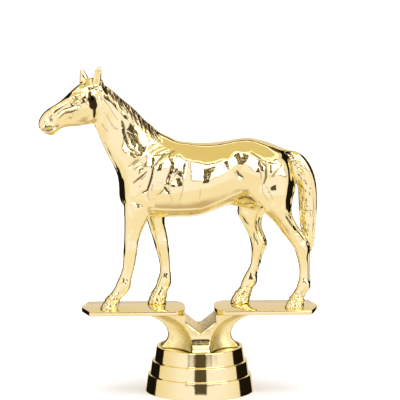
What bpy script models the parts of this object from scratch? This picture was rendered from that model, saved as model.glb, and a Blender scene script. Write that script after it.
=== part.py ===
"""A horse figurine trophy: a horse on two ground plates, their forked bracket, and a stepped round base.

Metres, +Z up. The horse's head points to -X and its left side faces -Y. The base stands on Z = 0, and the
origin lies under the middle of the whole trophy's length.
"""

import math

import bpy
import bmesh
import numpy as np
from mathutils import Matrix

# The stepped round base, a cup that opens downwards
TIERS = (  # foot radius, top radius and height of each tier, from the floor up
    (0.02095, 0.0199, 0.0068),
    (0.0191, 0.01840, 0.0053),
    (0.0174, 0.0166, 0.0056),
)
EDGE_ROUND = 0.0003
RIM_WIDTH = 0.0009
POCKET_DEPTH = 0.0008
WALL = 0.0018
FLOOR = 0.0017
BOLT_HOLE_RADIUS = 0.00325
BOLT_HOLE_ROOF = 0.0010
BOSS_RADIUS = 0.0062
BOSS_RECESS = 0.0008
RIB_THICKNESS = 0.0014
RIB_RECESS = 0.0015
RIB_COUNT = 4
BASE_SEGMENTS = 48

# The bracket's foot keeps this gap to the pocket it sits in
SEAT_GAP = 0.0003

# The horse's height from its soles to the tip of its ear, which the plates' length follows
HORSE_HEIGHT = 0.0945

# The two ground plates, which lie end to end with an open gap between them
PLATE_LENGTH = 0.4222 * HORSE_HEIGHT
PLATE_DEPTH = 0.0216
PLATE_THICKNESS = 0.0017
PLATE_GAP = 0.0112
OUTER_POINT = (0.0028, 0.0028)
INNER_POINT = (0.0034, 0.0080)

# The forked bracket between base and plates: height above its foot, half length of the web, half width and
# depth of the front and rear faces
BRACKET_LEVELS = (
    (0.0000, 0.0151, 0.0033, 0.0128),
    (0.0011, 0.0144, 0.0032, 0.0122),
    (0.0027, 0.0130, 0.0033, 0.0112),
    (0.0044, 0.0123, 0.0036, 0.0107),
    (0.0064, 0.0125, 0.0043, 0.0105),
    (0.0095, 0.0144, 0.0061, 0.0104),
    (0.0119, 0.0185, 0.0086, 0.0105),
    (0.0131, 0.0219, 0.0107, 0.0106),
    (0.0142, 0.0255, 0.0130, 0.0107),
)
WEB_HALF_THICKNESS = 0.0016
NOTCH_FLOOR = 0.0072
NOTCH_SLOPE = (0.0059, 0.0119)
JOIN_OVERLAP = 0.0003

# The horse is drawn on squared paper: 241 squares from sole to ear tip, each a little taller than wide
SQUARES_HIGH = 241.0
SQUARE_Z = HORSE_HEIGHT / SQUARES_HIGH
SQUARE_X = SQUARE_Z * 0.985
SCULPT_VOXEL = 0.00055
HORSE_TRIANGLES = 6900
RING_POINTS = 28
RING_STEPS = 3
EVEN_OUT = (0.5, -0.53)

# Colours of the finish: bright gold plating
GOLD = (0.86, 0.66, 0.30, 1.0)
GOLD_ROUGHNESS = 0.12


# Stations of a form give two outline points in side view, the sideways middle, the half width and the egg:
# the share by which the first outline point's side is wider. All lengths are in squares, from the base's axis
# and from the ground plates' top.

TRUNK = (
    (-81.0, 129.0, -81.0, 115.0, 0, 5.0, 0.0),
    (-78.0, 141.0, -78.0, 104.0, 0, 13.0, 0.0),
    (-71.5, 155.0, -71.5, 97.0, 0, 19.0, -0.1),
    (-61.5, 166.0, -61.5, 92.5, 0, 24.0, -0.15),
    (-49.5, 172.0, -49.5, 90.0, 0, 26.5, -0.3),
    (-34.5, 173.0, -34.5, 89.5, 0, 26.5, -0.35),
    (-21.0, 166.0, -21.0, 89.8, 0, 25.5, -0.25),
    (-8.5, 163.3, -8.5, 89.8, 0, 29.0, -0.15),
    (2.5, 162.7, 2.5, 91.8, 0, 32.0, -0.12),
    (13.0, 163.0, 13.0, 95.5, 0, 31.0, -0.1),
    (25.5, 164.5, 25.5, 100.5, 0, 27.5, -0.05),
    (38.5, 166.7, 38.5, 105.8, 0, 23.5, 0.0),
    (50.5, 167.2, 50.5, 108.2, 0, 25.5, 0.0),
    (62.5, 164.7, 62.5, 105.0, 0, 28.8, 0.0),
    (74.5, 160.9, 74.5, 105.0, 0, 29.0, 0.0),
    (84.5, 157.0, 84.5, 109.0, 0, 24.0, 0.0),
    (91.5, 151.0, 91.5, 115.0, 0, 15.5, 0.0),
    (96.0, 140.5, 96.0, 126.0, 0, 6.0, 0.0),
)

NECK = (
    (-101.0, 220.0, -111.5, 193.0, 0, 8.4, 0.0, 0.55, 0.05),
    (-96.0, 221.6, -106.0, 184.6, 0, 9.4, -0.1, 0.45, 0.1),
    (-87.0, 215.8, -102.5, 177.0, 0, 10.0, -0.2, 0.42, 0.12),
    (-76.7, 206.9, -99.0, 169.0, 0, 10.6, -0.25, 0.42, 0.12),
    (-64.8, 197.0, -95.0, 160.0, 0, 11.9, -0.3, 0.45, 0.06),
    (-55.0, 186.6, -90.5, 150.5, 0, 14.3, -0.35, 0.55, -0.06),
    (-44.3, 178.2, -85.5, 141.0, 0, 17.6, -0.4, 0.75, -0.22),
    (-34.0, 171.0, -80.5, 127.0, 0, 20.5, -0.4, 0.95, -0.36),
    (-27.5, 162.0, -74.0, 112.0, 0, 21.5, -0.3, 1.0, -0.3),
)

HEAD = (
    (-96.5, 221.0, -98.5, 209.0, 0, 5.0, 0.0),
    (-102.2, 224.5, -99.5, 194.0, 0, 8.8, 0.0),
    (-109.3, 225.3, -101.5, 185.5, 0, 10.4, 0.05),
    (-117.8, 222.8, -107.7, 182.7, 0, 11.0, 0.1),
    (-125.4, 217.3, -115.2, 181.4, 0, 10.2, 0.1),
    (-132.8, 210.7, -122.6, 181.0, 0, 8.7, 0.1),
    (-140.2, 204.7, -130.6, 180.6, 0, 7.5, 0.1),
    (-148.2, 200.0, -137.9, 178.3, 0, 7.1, 0.05),
    (-153.9, 195.8, -142.2, 174.8, 0, 7.2, 0.0),
    (-157.8, 190.8, -146.2, 172.7, 0, 6.9, 0.0),
    (-159.8, 185.4, -151.4, 173.6, 0, 5.6, 0.0),
    (-159.6, 181.0, -156.4, 176.6, 0, 3.0, 0.0),
)

FORELOCK = (
    (-95.5, 225.0, -96.5, 216.5, 0, 2.5, 0.0),
    (-100.0, 228.4, -100.0, 217.5, 0, 3.6, 0.0),
    (-106.0, 228.6, -105.0, 215.5, 0, 4.2, 0.0),
    (-111.5, 226.2, -110.0, 213.5, 0, 3.8, 0.0),
    (-117.0, 221.0, -115.0, 212.5, 0, 2.2, 0.0),
)

HEAD_POLL = -100.0
HEAD_TURN = math.radians(9.0)

NEAR_EAR = (
    (-107.0, 220.0, -96.8, 220.0, -5.8, 3.4, 0.0),
    (-106.0, 225.0, -97.1, 224.5, -6.2, 3.5, 0.0),
    (-105.1, 229.5, -97.2, 229.0, -6.6, 3.1, 0.0),
    (-103.9, 234.2, -97.1, 233.7, -7.0, 2.4, 0.0),
    (-102.1, 238.6, -97.2, 237.9, -7.2, 1.6, 0.0),
    (-100.0, 241.0, -98.2, 240.6, -7.3, 0.7, 0.0),
)
FAR_EAR = (
    (-118.8, 217.5, -106.5, 218.5, 5.2, 3.4, 0.0),
    (-119.2, 223.3, -108.0, 223.3, 5.6, 3.4, 0.0),
    (-119.0, 228.2, -109.6, 227.7, 6.0, 3.0, 0.0),
    (-118.6, 232.6, -112.2, 231.9, 6.4, 2.2, 0.0),
    (-117.6, 236.2, -114.8, 235.8, 6.6, 1.0, 0.0),
)

TAIL = (
    (80.5, 157.0, 80.5, 145.0, 0, 4.6, 0.0),
    (88.5, 156.7, 87.5, 146.7, 0, 5.2, 0.0),
    (96.5, 154.0, 92.0, 143.7, 0, 5.8, 0.0),
    (104.0, 149.0, 95.5, 137.6, 0, 6.6, 0.0),
    (110.0, 141.0, 97.5, 130.1, 0, 7.3, 0.0),
    (114.3, 131.0, 97.3, 121.6, 0, 7.8, 0.0),
    (116.4, 119.4, 98.2, 112.6, 0, 8.0, 0.0),
    (117.3, 106.4, 98.6, 101.6, 0, 8.0, 0.0),
    (117.0, 94.4, 99.1, 91.6, -1.0, 7.7, 0.0),
    (116.2, 82.4, 99.8, 81.6, -2.5, 7.0, 0.0),
    (115.2, 72.4, 101.5, 72.5, -4.0, 5.8, 0.0),
    (114.2, 63.4, 105.5, 63.5, -5.0, 4.4, 0.0),
    (112.0, 57.0, 108.5, 57.5, -5.5, 2.6, 0.0),
    (110.8, 54.0, 109.6, 54.0, -5.5, 1.2, 0.0),
)

# Stations of a leg, from the top down: height, front outline, rear outline, sideways middle and half width
NEAR_FORELEG = (
    (132.0, -70.0, -44.0, -13.0, 8.0),
    (115.0, -77.0, -43.0, -15.0, 9.8),
    (101.5, -76.2, -46.5, -15.5, 9.8),
    (91.3, -75.5, -51.3, -15.2, 8.8),
    (85.0, -75.5, -54.3, -15.1, 8.0),
    (79.3, -75.5, -57.2, -15.0, 7.2),
    (69.3, -75.8, -60.8, -15.0, 6.3),
    (62.3, -76.2, -61.9, -15.0, 6.3),
    (55.3, -76.4, -62.8, -15.0, 6.0),
    (49.3, -76.6, -63.9, -15.0, 5.0),
    (43.3, -77.2, -65.0, -15.0, 4.4),
    (35.3, -79.5, -67.2, -15.0, 4.3),
    (28.3, -82.7, -68.6, -15.0, 5.0),
    (23.3, -84.8, -69.2, -15.0, 5.4),
    (18.3, -87.8, -72.1, -15.0, 4.8),
    (14.3, -91.6, -76.1, -15.0, 4.8),
    (10.3, -94.8, -79.5, -15.0, 5.6),
    (6.3, -97.3, -80.9, -15.0, 6.5),
    (0.0, -100.2, -81.8, -15.0, 7.6),
)
FAR_FORELEG = (
    (128.0, -58.0, -34.0, 13.0, 8.0),
    (113.8, -59.5, -28.5, 15.0, 9.4),
    (99.8, -57.5, -31.0, 15.5, 9.2),
    (85.8, -52.7, -34.0, 15.2, 8.0),
    (77.8, -50.2, -33.6, 15.0, 7.1),
    (69.8, -47.7, -31.8, 15.0, 6.3),
    (62.3, -45.4, -30.7, 15.0, 6.3),
    (55.3, -43.5, -29.8, 15.0, 6.0),
    (49.3, -41.6, -29.4, 15.0, 5.0),
    (43.3, -40.1, -29.0, 15.0, 4.4),
    (35.8, -39.4, -28.5, 15.0, 4.3),
    (29.8, -39.7, -28.0, 15.0, 4.9),
    (23.8, -41.8, -27.5, 15.0, 5.4),
    (18.8, -43.2, -28.2, 15.0, 5.0),
    (14.8, -45.4, -30.2, 15.0, 4.9),
    (10.3, -48.1, -32.0, 15.0, 5.6),
    (5.8, -50.3, -32.6, 15.0, 6.6),
    (0.0, -51.9, -32.8, 15.0, 7.6),
)
NEAR_HIND_LEG = (
    (150.0, 56.0, 86.0, -11.0, 8.0),
    (138.0, 50.5, 93.5, -11.5, 14.5),
    (125.0, 49.5, 96.0, -12.5, 16.5),
    (118.0, 49.5, 95.3, -13.5, 16.3),
    (112.2, 50.5, 92.6, -15.3, 14.4),
    (102.2, 56.5, 91.2, -16.7, 12.0),
    (94.2, 65.5, 91.4, -16.5, 10.8),
    (87.2, 72.5, 94.2, -16.2, 9.3),
    (80.2, 78.2, 98.4, -16.0, 8.0),
    (74.2, 82.8, 103.4, -15.7, 7.0),
    (68.2, 87.5, 107.0, -15.5, 6.6),
    (62.2, 91.9, 108.8, -15.3, 6.5),
    (55.2, 95.1, 109.4, -15.0, 5.9),
    (47.2, 97.2, 109.6, -15.0, 4.8),
    (39.2, 98.7, 109.6, -15.0, 4.4),
    (31.2, 98.5, 109.8, -15.0, 4.6),
    (25.2, 97.0, 110.0, -15.0, 5.4),
    (20.2, 95.4, 109.8, -15.0, 5.3),
    (16.2, 92.8, 107.0, -15.0, 4.9),
    (12.2, 90.0, 104.4, -15.0, 5.1),
    (8.2, 87.3, 103.6, -15.0, 5.8),
    (4.2, 85.3, 103.8, -15.0, 6.7),
    (0.0, 83.7, 104.2, -15.0, 7.6),
)
FAR_HIND_LEG = (
    (140.0, 54.0, 88.0, 12.0, 8.0),
    (125.0, 44.0, 91.0, 14.5, 11.5),
    (112.8, 38.5, 87.0, 15.5, 12.0),
    (100.8, 36.3, 77.0, 16.0, 11.0),
    (90.8, 38.2, 66.9, 16.0, 9.5),
    (82.8, 42.0, 63.0, 15.7, 8.2),
    (74.8, 46.3, 63.4, 15.4, 7.0),
    (66.8, 50.0, 66.6, 15.2, 6.6),
    (59.8, 51.7, 68.6, 15.0, 6.5),
    (52.8, 52.6, 66.4, 15.0, 5.8),
    (44.8, 52.4, 63.3, 15.0, 4.7),
    (36.8, 50.7, 61.4, 15.0, 4.4),
    (29.8, 46.8, 59.1, 15.0, 4.6),
    (22.8, 43.2, 58.6, 15.0, 5.4),
    (18.8, 42.2, 57.6, 15.0, 5.2),
    (14.8, 39.8, 54.2, 15.0, 4.9),
    (9.8, 35.3, 52.8, 15.0, 5.4),
    (4.8, 32.6, 51.4, 15.0, 6.6),
    (0.0, 31.1, 51.2, 15.0, 7.6),
)

# Carving on the skin. A stroke gives a side (-1 left, 1 right, 0 both), its width, its height (below zero it is
# cut in) and a line of points in side view. All in squares.
STROKES = (
    # brow and eye, cheek, face bone, nostril, mouth
    (0, 2.0, 1.1, ((-123.5, 214.0), (-120.0, 214.3), (-117.5, 212.5))),
    (0, 1.6, 0.9, ((-122.5, 210.0), (-121.0, 210.4))),
    (0, 3.2, 1.2, ((-103.0, 204.5), (-102.5, 196.0), (-106.0, 188.5), (-113.0, 185.4))),
    (0, 1.6, 0.8, ((-123.0, 198.4), (-131.0, 196.0), (-139.0, 190.4))),
    (0, 2.6, -0.7, ((-128.0, 206.5), (-135.5, 201.0), (-142.0, 195.5))),
    (0, 3.0, -0.6, ((-121.0, 192.5), (-129.0, 188.8), (-136.5, 186.2))),
    (0, 1.9, 1.0, ((-149.0, 190.5), (-151.0, 187.0), (-153.5, 185.0))),
    (0, 1.2, -0.8, ((-149.5, 186.0), (-147.0, 189.0))),
    (0, 1.0, -0.7, ((-157.5, 180.0), (-149.5, 180.2), (-142.0, 183.6))),
    # throat, jugular groove, shoulder blade, upper arm
    (0, 2.6, -1.3, ((-99.3, 207.0), (-98.2, 197.0), (-100.5, 187.0))),
    (0, 3.5, -1.0, ((-97.5, 184.0), (-90.0, 168.0), (-82.0, 152.0), (-75.5, 138.0))),
    (0, 6.0, 1.2, ((-44.0, 166.0), (-53.0, 152.0), (-64.0, 137.0), (-72.0, 127.0))),
    (0, 5.0, -0.9, ((-36.0, 158.0), (-42.0, 144.0), (-50.0, 131.0))),
    (0, 5.0, -0.9, ((-60.0, 166.0), (-66.0, 153.0), (-73.0, 141.0))),
    (0, 5.0, 1.6, ((-70.0, 126.0), (-60.0, 117.0), (-50.0, 112.0))),
    (0, 4.0, -1.6, ((-47.0, 128.0), (-43.0, 116.0), (-42.0, 104.0))),
    (0, 3.0, -1.2, ((-72.0, 116.0), (-66.0, 110.0), (-58.0, 106.0))),
    (0, 5.0, 1.2, ((-66.0, 101.0), (-64.0, 88.0), (-66.0, 76.0))),
    # flank, hip, thigh, stifle, gaskin
    (0, 6.0, -1.8, ((36.0, 148.0), (39.0, 136.0), (43.0, 124.0))),
    (0, 5.0, 1.3, ((42.0, 153.0), (50.0, 150.0))),
    (0, 5.0, -1.2, ((56.0, 152.0), (62.0, 140.0), (69.0, 128.0))),
    (0, 6.0, 1.4, ((52.0, 136.0), (55.0, 122.0), (60.0, 110.0))),
    (0, 4.0, -1.2, ((84.0, 141.0), (83.0, 126.0), (80.0, 112.0))),
    (0, 3.0, -1.0, ((76.0, 106.0), (83.0, 96.0), (90.0, 86.0))),
    (0, 4.0, 1.0, ((70.0, 101.0), (78.0, 90.0), (87.0, 78.0))),
    # belly tuck
    (0, 4.0, -0.9, ((-36.0, 101.0), (-10.0, 99.0), (15.0, 103.0), (33.0, 110.0))),
)

# Spots of the side view round which the forms melt into each other: where and how far
JOINS = (
    (-44.0, 160.0, 16.0),
    (-62.0, 140.0, 16.0),
    (-78.0, 124.0, 10.0),
    (-60.0, 112.0, 16.0),
    (-42.0, 104.0, 12.0),
    (-50.0, 118.0, 14.0),
    (45.0, 116.0, 14.0),
    (58.0, 140.0, 18.0),
    (80.0, 148.0, 14.0),
    (88.0, 130.0, 12.0),
    (-100.0, 200.0, 6.0),
    (-98.0, 186.0, 5.0),
    (-100.0, 219.0, 5.0),
)
JOIN_ROUNDS = 50

# Mane and tail: locks lie side by side along a root line, each running down to its tip
LOCK_WIDTH = 2.6
MANE_LIFT = 2.1
MANE_ROOTS = ((-96.5, 222.5), (-86.5, 216.5), (-76.0, 207.8), (-64.5, 197.8), (-54.0, 187.5), (-44.5, 179.5))
MANE_DROP = (7.5, 13.0, 13.5, 16.0, 19.0, 11.0)
MANE_LEAN = 0.42
MANE_LOCKS = 14
TAIL_LIFT = 1.6
TAIL_LOCKS = 6


def clear_scene():
    """Empties the scene of whatever the file held."""
    for obj in list(bpy.data.objects):
        bpy.data.objects.remove(obj)


def gold_material(name):
    """Bright gold plating."""
    material = bpy.data.materials.new(name)
    material.use_nodes = True
    shader = material.node_tree.nodes["Principled BSDF"]
    shader.inputs["Base Color"].default_value = GOLD
    shader.inputs["Metallic"].default_value = 1.0
    shader.inputs["Roughness"].default_value = GOLD_ROUGHNESS
    return material


def new_object(name, mesh):
    """Puts a mesh into the scene under its name."""
    obj = bpy.data.objects.new(name, mesh)
    bpy.context.scene.collection.objects.link(obj)
    return obj


def mesh_of(bm, name):
    """Turns a finished bmesh into a mesh, faces outwards."""
    bmesh.ops.recalc_face_normals(bm, faces=bm.faces)
    mesh = bpy.data.meshes.new(name)
    bm.to_mesh(mesh)
    bm.free()
    return mesh


def boolean(obj, other, operation):
    """Adds an exact Boolean with another object."""
    modifier = obj.modifiers.new(f"{operation.lower()} {other.name}", "BOOLEAN")
    modifier.operation = operation
    modifier.solver = "EXACT"
    modifier.object = other


def through(stations, steps):
    """A smooth run of stations through the given ones."""
    points = np.array(stations, float)
    padded = np.vstack([2 * points[0] - points[1], points, 2 * points[-1] - points[-2]])
    run = []
    for a, b, c, d in zip(padded, padded[1:], padded[2:], padded[3:]):
        for t in np.arange(steps) / steps:
            linear = (c - a) * t
            square = (2 * a - 5 * b + 4 * c - d) * t**2
            cube = (3 * b - a - 3 * c + d) * t**3
            run.append((2 * b + linear + square + cube) / 2)
    return np.array([*run, points[-1]])


def leg_stations(rows):
    """Level slices of a leg as stations of a form."""
    return [(front, z, rear, z, y, half, 0.0) for z, front, rear, y, half in rows]


def turned(stations):
    """The head's stations, with the nose swung to the horse's left about the poll."""
    swing = math.tan(HEAD_TURN)
    return [
        (ax, az, bx, bz, y + min(0.0, (ax + bx) / 2 - HEAD_POLL) * swing, half, egg)
        for ax, az, bx, bz, y, half, egg in stations
    ]


def add_form(bm, stations):
    """Skins a closed form over its stations' oval rings. A station may give its left side a shape of its own: how
    round it is (1 for an oval, less for a flatter side) and the share by which it widens to the first point."""
    angles = np.arange(RING_POINTS) * 2 * math.pi / RING_POINTS
    rings = []
    for ax, az, bx, bz, y, half, egg, *left in through(stations, RING_STEPS):
        left_round, left_egg = left or (1.0, egg)
        ring = []
        for angle in angles:
            along, across = math.cos(angle), math.sin(angle)
            x = (ax + bx) / 2 + (ax - bx) / 2 * along
            z = (az + bz) / 2 + (az - bz) / 2 * along
            if across < 0:
                side = y - half * abs(across) ** left_round * (1 + left_egg * along)
            else:
                side = y + half * across * (1 + egg * along)
            ring.append(bm.verts.new((x * SQUARE_X, side * SQUARE_X, z * SQUARE_Z)))
        rings.append(ring)
    for lower, upper in zip(rings, rings[1:]):
        for i in range(RING_POINTS):
            j = (i + 1) % RING_POINTS
            bm.faces.new((lower[i], lower[j], upper[j], upper[i]))
    bm.faces.new(rings[0][::-1])
    bm.faces.new(rings[-1])


def horse_forms():
    """The rough horse: every form skinned, overlapping where they join."""
    bm = bmesh.new()
    head = [turned(stations) for stations in (HEAD, FORELOCK, NEAR_EAR, FAR_EAR)]
    for stations in (TRUNK, NECK, *head, TAIL):
        add_form(bm, stations)
    for rows in (NEAR_FORELEG, FAR_FORELEG, NEAR_HIND_LEG, FAR_HIND_LEG):
        add_form(bm, leg_stations(rows))
    bmesh.ops.recalc_face_normals(bm, faces=bm.faces)
    mesh = bpy.data.meshes.new("horse_forms")
    bm.to_mesh(mesh)
    bm.free()
    return mesh


def fused(mesh, voxel):
    """One closed skin round overlapping forms."""
    obj = new_object("forms", mesh)
    remesh = obj.modifiers.new("fuse", "REMESH")
    remesh.mode = "VOXEL"
    remesh.voxel_size = voxel
    graph = bpy.context.evaluated_depsgraph_get()
    skin = bpy.data.meshes.new_from_object(obj.evaluated_get(graph))
    bpy.data.objects.remove(obj)
    return skin


def points_of(mesh):
    """The mesh's points as an array."""
    points = np.empty(len(mesh.vertices) * 3)
    mesh.vertices.foreach_get("co", points)
    return points.reshape(-1, 3)


def normals_of(mesh):
    """The mesh's point normals as an array."""
    normals = np.empty(len(mesh.vertices) * 3)
    mesh.vertices.foreach_get("normal", normals)
    return normals.reshape(-1, 3)


def set_points(mesh, points):
    """Moves the mesh's points."""
    mesh.vertices.foreach_set("co", points.ravel())
    mesh.update()


def smoothed(mesh, rounds, pulls, weight=1.0):
    """Evens out the skin; a second, negative pull pushes back what the first one shrinks."""
    edges = np.empty(len(mesh.edges) * 2, int)
    mesh.edges.foreach_get("vertices", edges)
    edges = edges.reshape(-1, 2)
    ends = np.concatenate([edges[:, 0], edges[:, 1]])
    others = np.concatenate([edges[:, 1], edges[:, 0]])
    points = points_of(mesh)
    count = np.bincount(ends, minlength=len(points))[:, None]
    for _ in range(rounds):
        for pull in pulls:
            total = np.stack(
                [np.bincount(ends, points[others, k], len(points)) for k in range(3)], axis=1
            )
            points = points + pull * weight * (total / count - points)
    set_points(mesh, points)


def side_view(mesh):
    """The skin's points in squares of the side view."""
    return points_of(mesh)[:, [0, 2]] / (SQUARE_X, SQUARE_Z)


def melted(mesh):
    """Melts the forms into each other round their joins."""
    spots = side_view(mesh)
    weight = np.zeros(len(spots))
    for x, z, reach in JOINS:
        distance = np.hypot(spots[:, 0] - x, spots[:, 1] - z)
        weight = np.maximum(weight, 1 - eased(distance, reach * 0.6, reach * 1.3))
    smoothed(mesh, JOIN_ROUNDS, (0.5,), weight[:, None])


def settle(obj):
    """Makes the outcome of an object's modifiers its own mesh."""
    graph = bpy.context.evaluated_depsgraph_get()
    mesh = bpy.data.meshes.new_from_object(obj.evaluated_get(graph))
    obj.modifiers.clear()
    obj.data = mesh


def combine(obj, others, operation):
    """Joins or cuts an object with others, which are used up."""
    for other in others:
        boolean(obj, other, operation)
    settle(obj)
    for other in others:
        bpy.data.objects.remove(other)


def prism(name, outline, low, high, upright=True):
    """A straight solid over an outline; lying on its side it runs along Y."""
    bm = bmesh.new()
    rings = []
    for level in (low, high):
        if upright:
            rings.append([bm.verts.new((x, y, level)) for x, y in outline])
        else:
            rings.append([bm.verts.new((x, level, z)) for x, z in outline])
    bm.faces.new(rings[0][::-1])
    bm.faces.new(rings[1])
    for i in range(len(outline)):
        j = (i + 1) % len(outline)
        bm.faces.new((rings[0][i], rings[0][j], rings[1][j], rings[1][i]))
    return new_object(name, mesh_of(bm, name))


def revolved(name, profile, segments):
    """A turned solid from its closed profile of radius and height."""
    bm = bmesh.new()
    rings = []
    for radius, z in profile:
        if radius == 0:
            rings.append([bm.verts.new((0, 0, z))] * segments)
            continue
        ring = []
        for i in range(segments):
            angle = 2 * math.pi * i / segments
            ring.append(bm.verts.new((radius * math.cos(angle), radius * math.sin(angle), z)))
        rings.append(ring)
    for lower, upper in zip(rings, rings[1:] + rings[:1]):
        for i in range(segments):
            j = (i + 1) % segments
            corners = dict.fromkeys((lower[i], lower[j], upper[j], upper[i]))
            if len(corners) > 2:
                bm.faces.new(list(corners))
    return new_object(name, mesh_of(bm, name))


def base_top():
    """Height of the base's rim."""
    return sum(height for _, _, height in TIERS)


def pocket_floor():
    """Height of the pocket that the bracket stands in."""
    return base_top() - POCKET_DEPTH


def outer_steps():
    """The base's outside from the floor up, edges eased."""
    points = []
    z = 0.0
    for foot, top, height in TIERS:
        lean = (foot - top) / height
        ease = EDGE_ROUND
        if z == 0.0:
            points += [(foot - ease, 0.0), (foot - lean * ease, ease)]
        else:
            points.append((foot, z))
        z += height
        points += [(top + lean * ease, z - ease), (top - ease, z)]
    return points


def build_base():
    """The stepped base: outside, pocket and hollow, with a bolt boss and ribs inside."""
    rim = TIERS[-1][1] - EDGE_ROUND - RIM_WIDTH
    under = pocket_floor() - FLOOR
    hollow = [(0.0, under)]
    walls = []
    z = 0.0
    for foot, top, height in TIERS:
        walls.append((top - WALL, z))
        z += height
        walls.append((top - WALL, min(z - WALL, under)))
    walls[0] = (TIERS[0][0] - WALL, 0.0)
    ceiling = [(walls[-1][0], under)]
    profile = outer_steps() + [(rim, base_top()), (rim, pocket_floor()), (0.0, pocket_floor())]
    profile += hollow + ceiling + walls[::-1][1:]
    base = revolved("round_base", profile, BASE_SEGMENTS)
    additions = []
    reach = TIERS[-1][1] - WALL / 2
    for i in range(RIB_COUNT // 2):
        half = RIB_THICKNESS / 2
        outline = [(-reach, -half), (reach, -half), (reach, half), (-reach, half)]
        rib = prism(f"rib {i}", outline, RIB_RECESS, under + FLOOR / 2)
        turn = math.pi * (2 * i + 1) / RIB_COUNT
        rib.data.transform(Matrix.Rotation(turn, 4, "Z"))
        additions.append(rib)
    boss = [(0.0, BOSS_RECESS), (BOSS_RADIUS, BOSS_RECESS), (BOSS_RADIUS, under + FLOOR / 2)]
    additions.append(revolved("boss", [*boss, (0.0, under + FLOOR / 2)], BASE_SEGMENTS // 2))
    combine(base, additions, "UNION")
    roof = pocket_floor() - BOLT_HOLE_ROOF
    hole = [(0.0, -FLOOR), (BOLT_HOLE_RADIUS, -FLOOR), (BOLT_HOLE_RADIUS, roof), (0.0, roof)]
    combine(base, [revolved("bolt hole", hole, BASE_SEGMENTS // 2)], "DIFFERENCE")
    return base


def plate_outline(middle, outwards):
    """A ground plate's outline: a shallow point outside, a blunt one towards the other plate."""
    half = PLATE_LENGTH / 2
    side = PLATE_DEPTH / 2
    outer, outer_flat = OUTER_POINT
    inner, inner_flat = INNER_POINT
    points = [
        (half - outer, -side),
        (half, -outer_flat / 2),
        (half, outer_flat / 2),
        (half - outer, side),
        (inner - half, side),
        (inner / 4 - half, inner_flat),
        (-half, inner_flat / 2),
        (-half, -inner_flat / 2),
        (inner / 4 - half, -inner_flat),
        (inner - half, -side),
    ]
    points = [(middle + outwards * x, y) for x, y in points]
    return points if outwards > 0 else points[::-1]


def bracket_section(length, width, depth, z, bm):
    """One level slice of the bracket: flat faces front and rear, hollowed flanks out to the web's ends."""
    quarter = [(0.0, depth), (width, depth)]
    for step in range(1, 7):
        share = step / 6
        x = width + (length - WEB_HALF_THICKNESS / 2 - width) * share
        y = WEB_HALF_THICKNESS + (depth - WEB_HALF_THICKNESS) * (1 - share) ** 2.6
        quarter.append((x, y))
    quarter.append((length, 0.0))
    outline = quarter[:-1] + [(x, -y) for x, y in reversed(quarter)]
    outline = outline[1:] + [(-x, y) for x, y in reversed(outline[1:-1])]
    return [bm.verts.new((x, y, z)) for x, y in outline]


def build_bracket(foot):
    """The forked bracket, standing with its foot at the given height."""
    bm = bmesh.new()
    levels = np.array(BRACKET_LEVELS)
    rings = []
    for height, length, width, depth in levels:
        rings.append(bracket_section(length, width, depth, foot + height, bm))
    rings.append(bracket_section(*levels[-1][1:], foot + levels[-1][0] + JOIN_OVERLAP, bm))
    for lower, upper in zip(rings, rings[1:]):
        for i in range(len(lower)):
            j = (i + 1) % len(lower)
            bm.faces.new((lower[i], lower[j], upper[j], upper[i]))
    bm.faces.new(rings[0][::-1])
    bm.faces.new(rings[-1])
    bracket = new_object("bracket", mesh_of(bm, "bracket"))
    run, rise = NOTCH_SLOPE
    top = foot + levels[-1][0] + PLATE_THICKNESS
    outline = [(0.0, foot + NOTCH_FLOOR), (run, foot + rise), (run, top), (-run, top), (-run, foot + rise)]
    notch = prism("notch", outline, -PLATE_DEPTH, PLATE_DEPTH, upright=False)
    combine(bracket, [notch], "DIFFERENCE")
    return bracket


def along_line(spots, line):
    """Distance of each spot to a line of points, and the share of the line's length at its nearest point."""
    line = np.array(line, float)
    lengths = np.hypot(*np.diff(line, axis=0).T)
    before = np.concatenate([[0], np.cumsum(lengths)])
    best = np.full(len(spots), np.inf)
    share = np.zeros(len(spots))
    for start, step, length, passed in zip(line, np.diff(line, axis=0), lengths, before):
        t = np.clip((spots - start) @ step / length**2, 0, 1)
        distance = np.hypot(*(spots - start - t[:, None] * step).T)
        nearer = distance < best
        best[nearer] = distance[nearer]
        share[nearer] = (passed + t[nearer] * length) / before[-1]
    return best, share


def eased(value, low, high):
    """Rises smoothly from 0 at low to 1 at high."""
    t = np.clip((value - low) / (high - low), 0, 1)
    return t * t * (3 - 2 * t)


def raised_strokes(spots, side, facing):
    """How far the strokes push the skin out at each spot of the side view."""
    push = np.zeros(len(spots))
    for which, width, height, line in STROKES:
        distance, _ = along_line(spots, line)
        on_side = eased(facing * (which or 1) if which else np.abs(facing), 0.15, 0.5)
        same = (side * which > 0) if which else np.abs(side) > 2.5
        push += height * np.exp(-((distance / width) ** 2)) * on_side * same
    return push


def mane_locks(count):
    """Lines of the mane's locks, from the crest down and back."""
    roots = through([(*root, drop) for root, drop in zip(MANE_ROOTS, MANE_DROP)], 12)
    for i in range(count):
        x, z, drop = roots[int((len(roots) - 1) * (i + 0.5) / count)]
        drop *= 0.86 + 0.28 * ((i * 5) % 7) / 6
        lean = MANE_LEAN * (0.8 + 0.5 * ((i * 3) % 5) / 4)
        yield [
            (x - 0.4, z + 1.6),
            (x + lean * drop * 0.25, z - drop * 0.35),
            (x + lean * drop * 0.65, z - drop * 0.72),
            (x + lean * drop * 1.15, z - drop),
        ]


def tail_locks(count):
    """Lines of the tail's locks, from the dock down to the tip."""
    run = through(TAIL, 2)
    for i in range(count):
        share = (i + 0.5) / count
        line = []
        for k, (ax, az, bx, bz, *_) in enumerate(run[1:]):
            sway = share + 0.05 * math.sin(k * 0.55 + i * 2.1)
            line.append((bx + (ax - bx) * sway, bz + (az - bz) * sway))
        yield line


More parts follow.
